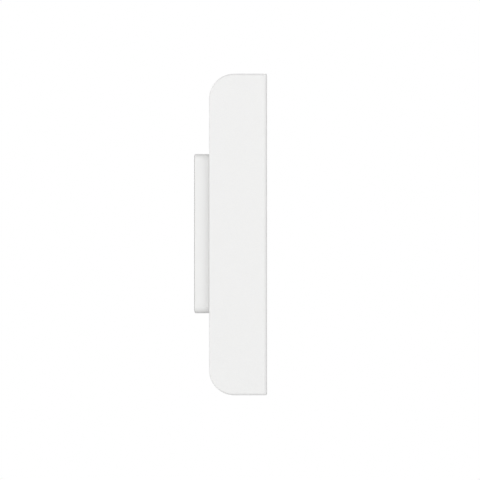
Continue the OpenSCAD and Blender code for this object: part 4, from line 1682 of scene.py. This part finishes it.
@dataclass
class CallButton(SubAssembly):
    """The call button, the milky ring round it and the board that lights the ring."""

    radius: float = 13.0
    flange_radius: float = 14.4
    front: float = 31.5
    back: float = 25.4
    flange: float = 0.95
    dish: float = 0.28
    stem_radius: float = 2.0
    stem_end: float = 23.6
    ring_inner: float = 13.4
    ring_outer: float = 15.4
    skirt_radius: float = 14.7
    ring_front: float = 31.65
    ring_step: float = 30.15
    ring_back: float = 26.4
    lamps: int = 8
    bell_depth: float = 0.25 * MM
    bell_edge: float = 0.05 * MM
    lamp_edge: float = 0.06 * MM
    axis: Vector = field(init=False)

    def build(self) -> None:
        """Makes the cap with its bell, the ring, lamps, seal and switch."""
        self.axis = Place.of("call_button_cap").centre
        self.cap()
        self.bell()
        self.ring()
        self.ring_lights()
        self.carry({"ring_light_board": 0.08 * MM, "button_seal": 0.15 * MM,
                    "switch_plunger": 0.15 * MM, "tact_switches": 0.12 * MM})

    def cap(self) -> None:
        """Turns the cap: a dished face with a bright chamfer, a flanged skirt and a stem."""
        r, front, back, wide, stem = (
            self.radius, self.front, self.back, self.flange_radius, self.stem_radius)
        face = [(11.9 * k / 10, front - 0.02 - self.dish * (1 - (k / 10) ** 2)) for k in range(11)]
        inside, step = front - 1.6, back + self.flange
        outline = [*face, *arc((12.1, front - 0.2), 0.2, 100, 50, 3), (r - 0.22, front - 0.75),
                   (r, front - 1.0), (r, step), (wide - 0.1, step), (wide, step - 0.1),
                   (wide, back), (r - 1.6, back), (r - 1.6, inside), (stem, inside),
                   (stem, self.stem_end), (0, self.stem_end)]
        piece = turned("button_cap", self.axis, [forward(outline)], 128)
        finish = WorkedMetal("turned_button_face", rgb(0.62, 0.63, 0.65), roughness=0.26,
                             turned_about=tuple(self.axis))
        dress(piece, Body.CALL_BUTTON, "button_metal", "call_button_cap", finish=finish)

    def bell(self) -> None:
        """Lets a plain bell sign into the middle of the cap."""
        top = -(self.front - self.dish + 0.08) * MM
        half = [(0.0, 4.6), (0.75, 4.45), (0.95, 3.9), (1.9, 3.3), (2.55, 2.2), (2.85, 0.6),
                (3.1, -1.0), (3.7, -2.2), (3.95, -2.75), (3.7, -3.05)]
        body = [*half, *[(-x, z) for x, z in reversed(half[1:])]]
        clapper = [(1.5 * math.cos(a), -3.55 + 1.35 * math.sin(a)) for a in
                   (math.pi + math.pi * k / 10 for k in range(11))]
        bm = bmesh.new()
        for shape in (body, clapper):
            verts = [bm.verts.new((self.axis.x + x * MM, top, self.axis.z + z * MM))
                     for x, z in shape]
            face = bm.faces.new(verts)
            lifted = bmesh.ops.extrude_face_region(bm, geom=[face])["geom"]
            moved = [v for v in lifted if isinstance(v, bmesh.types.BMVert)]
            bmesh.ops.translate(bm, verts=moved, vec=(0, self.bell_depth, 0))
        bmesh.ops.recalc_face_normals(bm, faces=bm.faces)
        obj = from_bmesh("bell_sign", bm)
        smooth(obj)
        round_edges(obj, self.bell_edge, 2, weighted=False)
        dress(obj, Body.CALL_BUTTON, "dark_plastic")

    def ring(self) -> None:
        """Turns the milky ring, crowned where it shows."""
        inner, outer, front = self.ring_inner, self.ring_outer, self.ring_front
        middle, half = (inner + outer) / 2, (outer - inner) / 2
        crown = [(middle + half * math.cos(a), front - 0.35 + 0.35 * math.sin(a)) for a in
                 (math.pi * k / 14 for k in range(15))]
        outline = [(inner, self.ring_back), (self.skirt_radius, self.ring_back),
                   (self.skirt_radius, self.ring_step), (outer, self.ring_step), *crown]
        piece = turned("milky_ring", self.axis, [forward(outline)], 128)
        dress(piece, Body.UNIT, "ring_milky", "button_light_ring")

    def ring_lights(self) -> None:
        """Makes the small lamps under the ring: white cases, each with a yellow face."""
        box = Place.of("ring_lamps")
        radius = self.skirt_radius - 0.7
        for name, slot, width, height, far in (("lamp_cases", "ivory_plastic", 1.0, 1.6, 0.52),
                                               ("lamp_faces", "ring_lamp", 0.7, 1.1, 0.58)):
            bm = bmesh.new()
            bmesh.ops.create_cube(bm, size=1.0)
            bmesh.ops.scale(bm, verts=bm.verts, vec=(width * MM, far * MM, height * MM))
            bmesh.ops.translate(bm, verts=bm.verts, vec=(0, box.high.y - far * MM / 2, 0))
            one = from_bmesh(name + "_one", bm)
            round_edges(one, self.lamp_edge, 2, weighted=False)
            piece = ring_of_parts().grow(
                name, FINISHES[slot], Part=one, Centre=Vector((self.axis.x, 0, self.axis.z)),
                Radius=radius * MM, Count=self.lamps, Start=0.0)
            dress(piece, Body.UNIT, slot, "ring_lamps")


@dataclass
class Speaker(SubAssembly):
    """The speaker behind the slots."""

    mesh_radius: float = 11.7
    wire: float = 0.075 * MM
    pitch: float = 0.42 * MM
    axis: Vector = field(init=False)

    def build(self) -> None:
        """Makes the mesh, cone, cup, magnet and lead."""
        self.axis = Place.of("speaker_mesh").centre
        self.mesh()
        self.cone()
        self.carry({"speaker_gasket": 0.12 * MM, "speaker_basket": 0.15 * MM,
                    "speaker_magnet": 0.3 * MM, "speaker_lead": 0.05 * MM})

    def mesh(self) -> None:
        """Makes crossed wires in a rim, with a cloth behind them that keeps dust out."""
        box = Place.of("speaker_mesh")
        r, front, back = self.mesh_radius, -box.low.y / MM, -box.high.y / MM
        wires = woven_disc().grow(
            "mesh_wires", FINISHES["mesh_black"],
            Centre=Vector((self.axis.x, box.low.y + 3 * self.wire, self.axis.z)),
            Radius=(r - 0.3) * MM, Pitch=self.pitch, Wire=self.wire)
        recalculate(wires)
        smooth(wires, WIRE_SHARP_ANGLE)
        finish = WorkedMetal("blackened_wire", rgb(0.055, 0.055, 0.06), roughness=0.42)
        dress(wires, Body.UNIT, "mesh_black", "speaker_mesh", finish=finish)
        rim = [(r - 0.6, front - 0.08), (r - 0.1, front), (r, front - 0.1), (r, back),
               (r - 0.6, back)]
        cloth = [(0, back + 0.12), (r - 0.7, back + 0.12), (r - 0.7, back), (0, back)]
        for name, outline, steps, own in (("mesh_rim", rim, 80, FINISHES["dark_plastic"]),
                                          ("dust_cloth", cloth, 64, None)):
            piece = turned(name, self.axis, [forward(outline)], steps)
            dress(piece, Body.UNIT, "mesh_black", "speaker_mesh", finish=own)

    def cone(self) -> None:
        """Turns the cone, with a rolled edge and a domed cap."""
        box = Place.of("speaker_cone")
        front, back, r = -box.low.y / MM, -box.high.y / MM, box.size.x / 2 / MM
        roll = [(r - 0.4 - 2.0 * k / 8, front - 0.45 + 0.4 * math.sin(math.pi * k / 8))
                for k in range(9)]
        rings = []
        for k in range(8):
            at = r - 2.8 - k * 0.62
            rings.append((at, front - 0.8 - k * 0.235 + (0.07 if k % 2 else 0.0)))
        upper = [(r, front), *roll, *rings, (3.1, back + 0.45)]
        lower = [(x, max(y - 0.28, back)) for x, y in reversed(upper)]
        cone = turned("speaker_diaphragm", self.axis, [forward([*upper, *lower])], 80)
        dress(cone, Body.UNIT, "cone_film", "speaker_cone")


@dataclass
class SensorStrip(SubAssembly):
    """The microphone and the light sensor on their strip of board."""

    def build(self) -> None:
        """Makes the board, microphone, boot, light pipe and sensor."""
        self.carry({"sensor_board": 0.06 * MM, "light_sensor": 0.08 * MM, "light_pipe": 0.2 * MM,
                    "microphone": 0.1 * MM, "microphone_boot": 0.25 * MM})
        box = Place.of("sensor_board")
        boot = Place.of("microphone_boot")
        front = -boot.low.y / MM
        cloth = [(0, front), (0.85, front), (0.85, front + 0.12), (0, front + 0.12)]
        piece = turned("microphone_cloth", boot.centre, [forward(cloth)], 24)
        dress(piece, Body.UNIT, "mesh_black")
        centre = Vector((0, box.low.y, box.centre.z))
        self.chips("strip_parts", ChipArea(centre, 9 * MM, 3.6 * MM, -1.0, 0.7 * MM, 1.3 * MM,
                                           seed=3))


@dataclass
class Terminals(SubAssembly):
    """What shows in the recess at the back: terminals, reset button and service socket."""

    contacts: int = 9
    contact_pitch: float = 0.6 * MM
    contact_width: float = 0.3 * MM
    contact_length: float = 3.4 * MM
    contact_thickness: float = 0.05 * MM
    contact_setback: float = 1.3 * MM
    tongue_half: float = 0.35 * MM

    def build(self) -> None:
        """Makes the block, plates, screws, reset button and socket."""
        self.carry({"terminal_block": 0.25 * MM, "terminal_plates": 0.12 * MM,
                    "terminal_screw_left": 0.16 * MM, "terminal_screw_right": 0.16 * MM,
                    "reset_button": 0.18 * MM, "service_socket": 0.08 * MM})
        self.socket_contacts()

    def socket_contacts(self) -> None:
        """Grows gilt contacts along the socket's tongue from one strip."""
        box = Place.of("service_socket")
        thick, length = self.contact_thickness, self.contact_length
        back = box.high.y - self.contact_setback - length / 2
        bm = bmesh.new()
        for side in (-1, 1):
            made = bmesh.ops.create_cube(bm, size=1.0)["verts"]
            bmesh.ops.scale(bm, verts=made, vec=(self.contact_width, length, thick))
            height = side * (self.tongue_half + thick / 2)
            bmesh.ops.translate(bm, verts=made, vec=(0, back, height))
        one = from_bmesh("contact_strip", bm)
        piece = grid_of_parts().grow(
            "socket_contacts", FINISHES["brass"], Part=one,
            Centre=Vector((box.centre.x, 0, box.centre.z)),
            Width=(self.contacts - 1) * self.contact_pitch, Height=0.0, Columns=self.contacts,
            Rows=1)
        dress(piece, Body.UNIT, "brass")


@dataclass
class Electronics(SubAssembly):
    """The main board and what is soldered and screwed to it."""

    def build(self) -> None:
        """Makes the board, chips, shield, aerial, capacitors, connectors and screws."""
        self.carry({"main_board": 0.08 * MM, "board_chips": 0.12 * MM, "shield_can": 0.25 * MM,
                    "antenna": 0.05 * MM, "buffer_capacitors": 0.45 * MM,
                    "board_connectors": 0.15 * MM})
        self.carry({"board_screws": 0.1 * MM}, 1)
        box = Place.of("main_board")
        front, rear = box.low.y, box.high.y
        self.chips("front_parts", ChipArea(
            Vector((0, front, -9 * MM)), 38 * MM, 5 * MM, -1.0, 0.9 * MM, seed=11))
        self.chips("rear_parts", ChipArea(
            Vector((-12 * MM, rear, -14 * MM)), 13 * MM, 9 * MM, 1.0, 0.8 * MM, seed=13))
        self.chips("power_parts", ChipArea(
            Vector((12 * MM, rear, -14 * MM)), 12 * MM, 10 * MM, 1.0, 1.2 * MM, 2.1 * MM,
            "ivory_plastic", 17))


# ---------------------------------------------------------------- studio


@dataclass(frozen=True)
class Softbox:
    """An oblong light: where it stands, how wide and high it is, and how strong."""

    name: str
    place: Vector
    width: float
    height: float
    power: float


@dataclass
class Studio:
    """Plain pale floor, even soft light and the camera."""

    distance: float = 0.809
    lens: float = 135.0
    aim_y: float = -0.02005
    aim_z: float = -0.00281
    floor_z: float = -0.35
    floor_radius: float = 1.5
    sensor_width: float = 36.0
    clip_start: float = 0.01
    ambient: float = 0.18
    aim: Vector = field(default_factory=lambda: Vector((0, -0.02, 0)))
    boxes: tuple[Softbox, ...] = (
        Softbox("key_left", Vector((-2.05, 0.0, 0.35)), 3.4, 1.3, 42.2),
        Softbox("fill_front", Vector((-0.1, -2.2, 0.4)), 1.5, 1.5, 4.6),
        Softbox("fill_right", Vector((2.2, 0.0, 0.35)), 2.4, 1.3, 24.0),
        Softbox("fill_rear", Vector((-0.1, 2.2, 0.4)), 1.6, 1.5, 13.0),
        Softbox("top", Vector((0.1, -0.1, 1.95)), 1.6, 1.6, 5.5),
    )

    def build(self) -> None:
        """Makes the world, floor, lights and camera."""
        self.sky()
        self.floor()
        for box in self.boxes:
            self.light(box)
        self.camera()

    def sky(self) -> None:
        """Puts plain white behind the object, and a weaker even light all round it."""
        world = bpy.data.worlds.new("white_room")
        world.use_nodes = True
        nodes, links = world.node_tree.nodes, world.node_tree.links
        background = nodes["Background"]
        background.inputs["Color"].default_value = rgb(1.0, 1.0, 1.0)
        seen = nodes.new("ShaderNodeLightPath")
        level = nodes.new("ShaderNodeMapRange")
        level.inputs["To Min"].default_value = self.ambient
        level.inputs["To Max"].default_value = 1.0
        links.new(seen.outputs["Is Camera Ray"], level.inputs["Value"])
        links.new(level.outputs["Result"], background.inputs["Strength"])
        bpy.context.scene.world = world
        bpy.context.scene.view_settings.view_transform = "Standard"

    def floor(self) -> None:
        """Lays a wide pale disc well under the object."""
        bm = bmesh.new()
        bmesh.ops.create_circle(bm, cap_ends=True, radius=self.floor_radius, segments=96)
        bmesh.ops.translate(bm, verts=bm.verts, vec=(0, 0, self.floor_z))
        disc = from_bmesh("studio_floor", bm)
        paint = MouldedPlastic("floor_paint", rgb(0.70, 0.70, 0.70), roughness=0.8, mottle=0.01)
        disc.data.materials.append(paint.material())

    def light(self, box: Softbox) -> None:
        """Adds a softbox that faces the object.

        Args:
            box: the softbox.
        """
        lamp = bpy.data.lights.new(box.name, "AREA")
        lamp.shape = "RECTANGLE"
        lamp.size = box.width
        lamp.size_y = box.height
        lamp.energy = box.power
        holder = bpy.data.objects.new(box.name, lamp)
        holder.location = box.place
        holder.rotation_euler = (self.aim - box.place).to_track_quat("-Z", "Y").to_euler()
        holder.visible_camera = False
        bpy.context.scene.collection.objects.link(holder)

    def camera(self) -> None:
        """Stands the camera level and square on to the left side."""
        data = bpy.data.cameras.new("side_camera")
        data.lens = self.lens
        data.sensor_width = self.sensor_width
        data.clip_start = self.clip_start
        holder = bpy.data.objects.new("side_camera", data)
        holder.location = (-self.distance, self.aim_y, self.aim_z)
        holder.rotation_euler = (QUARTER_TURN, 0, -QUARTER_TURN)
        bpy.context.scene.collection.objects.link(holder)
        bpy.context.scene.camera = holder


def main() -> None:
    """Builds the sub-assemblies in order, then the studio."""
    logging.basicConfig(level=logging.INFO, format="%(name)s: %(message)s")
    for assembly in (WallBracket(), Casing(), FrontPanel(), Camera(), CallButton(), Speaker(),
                     SensorStrip(), Terminals(), Electronics()):
        LOG.info("building %s", type(assembly).__name__)
        assembly.build()
    Studio().build()


if __name__ == "__main__":
    main()
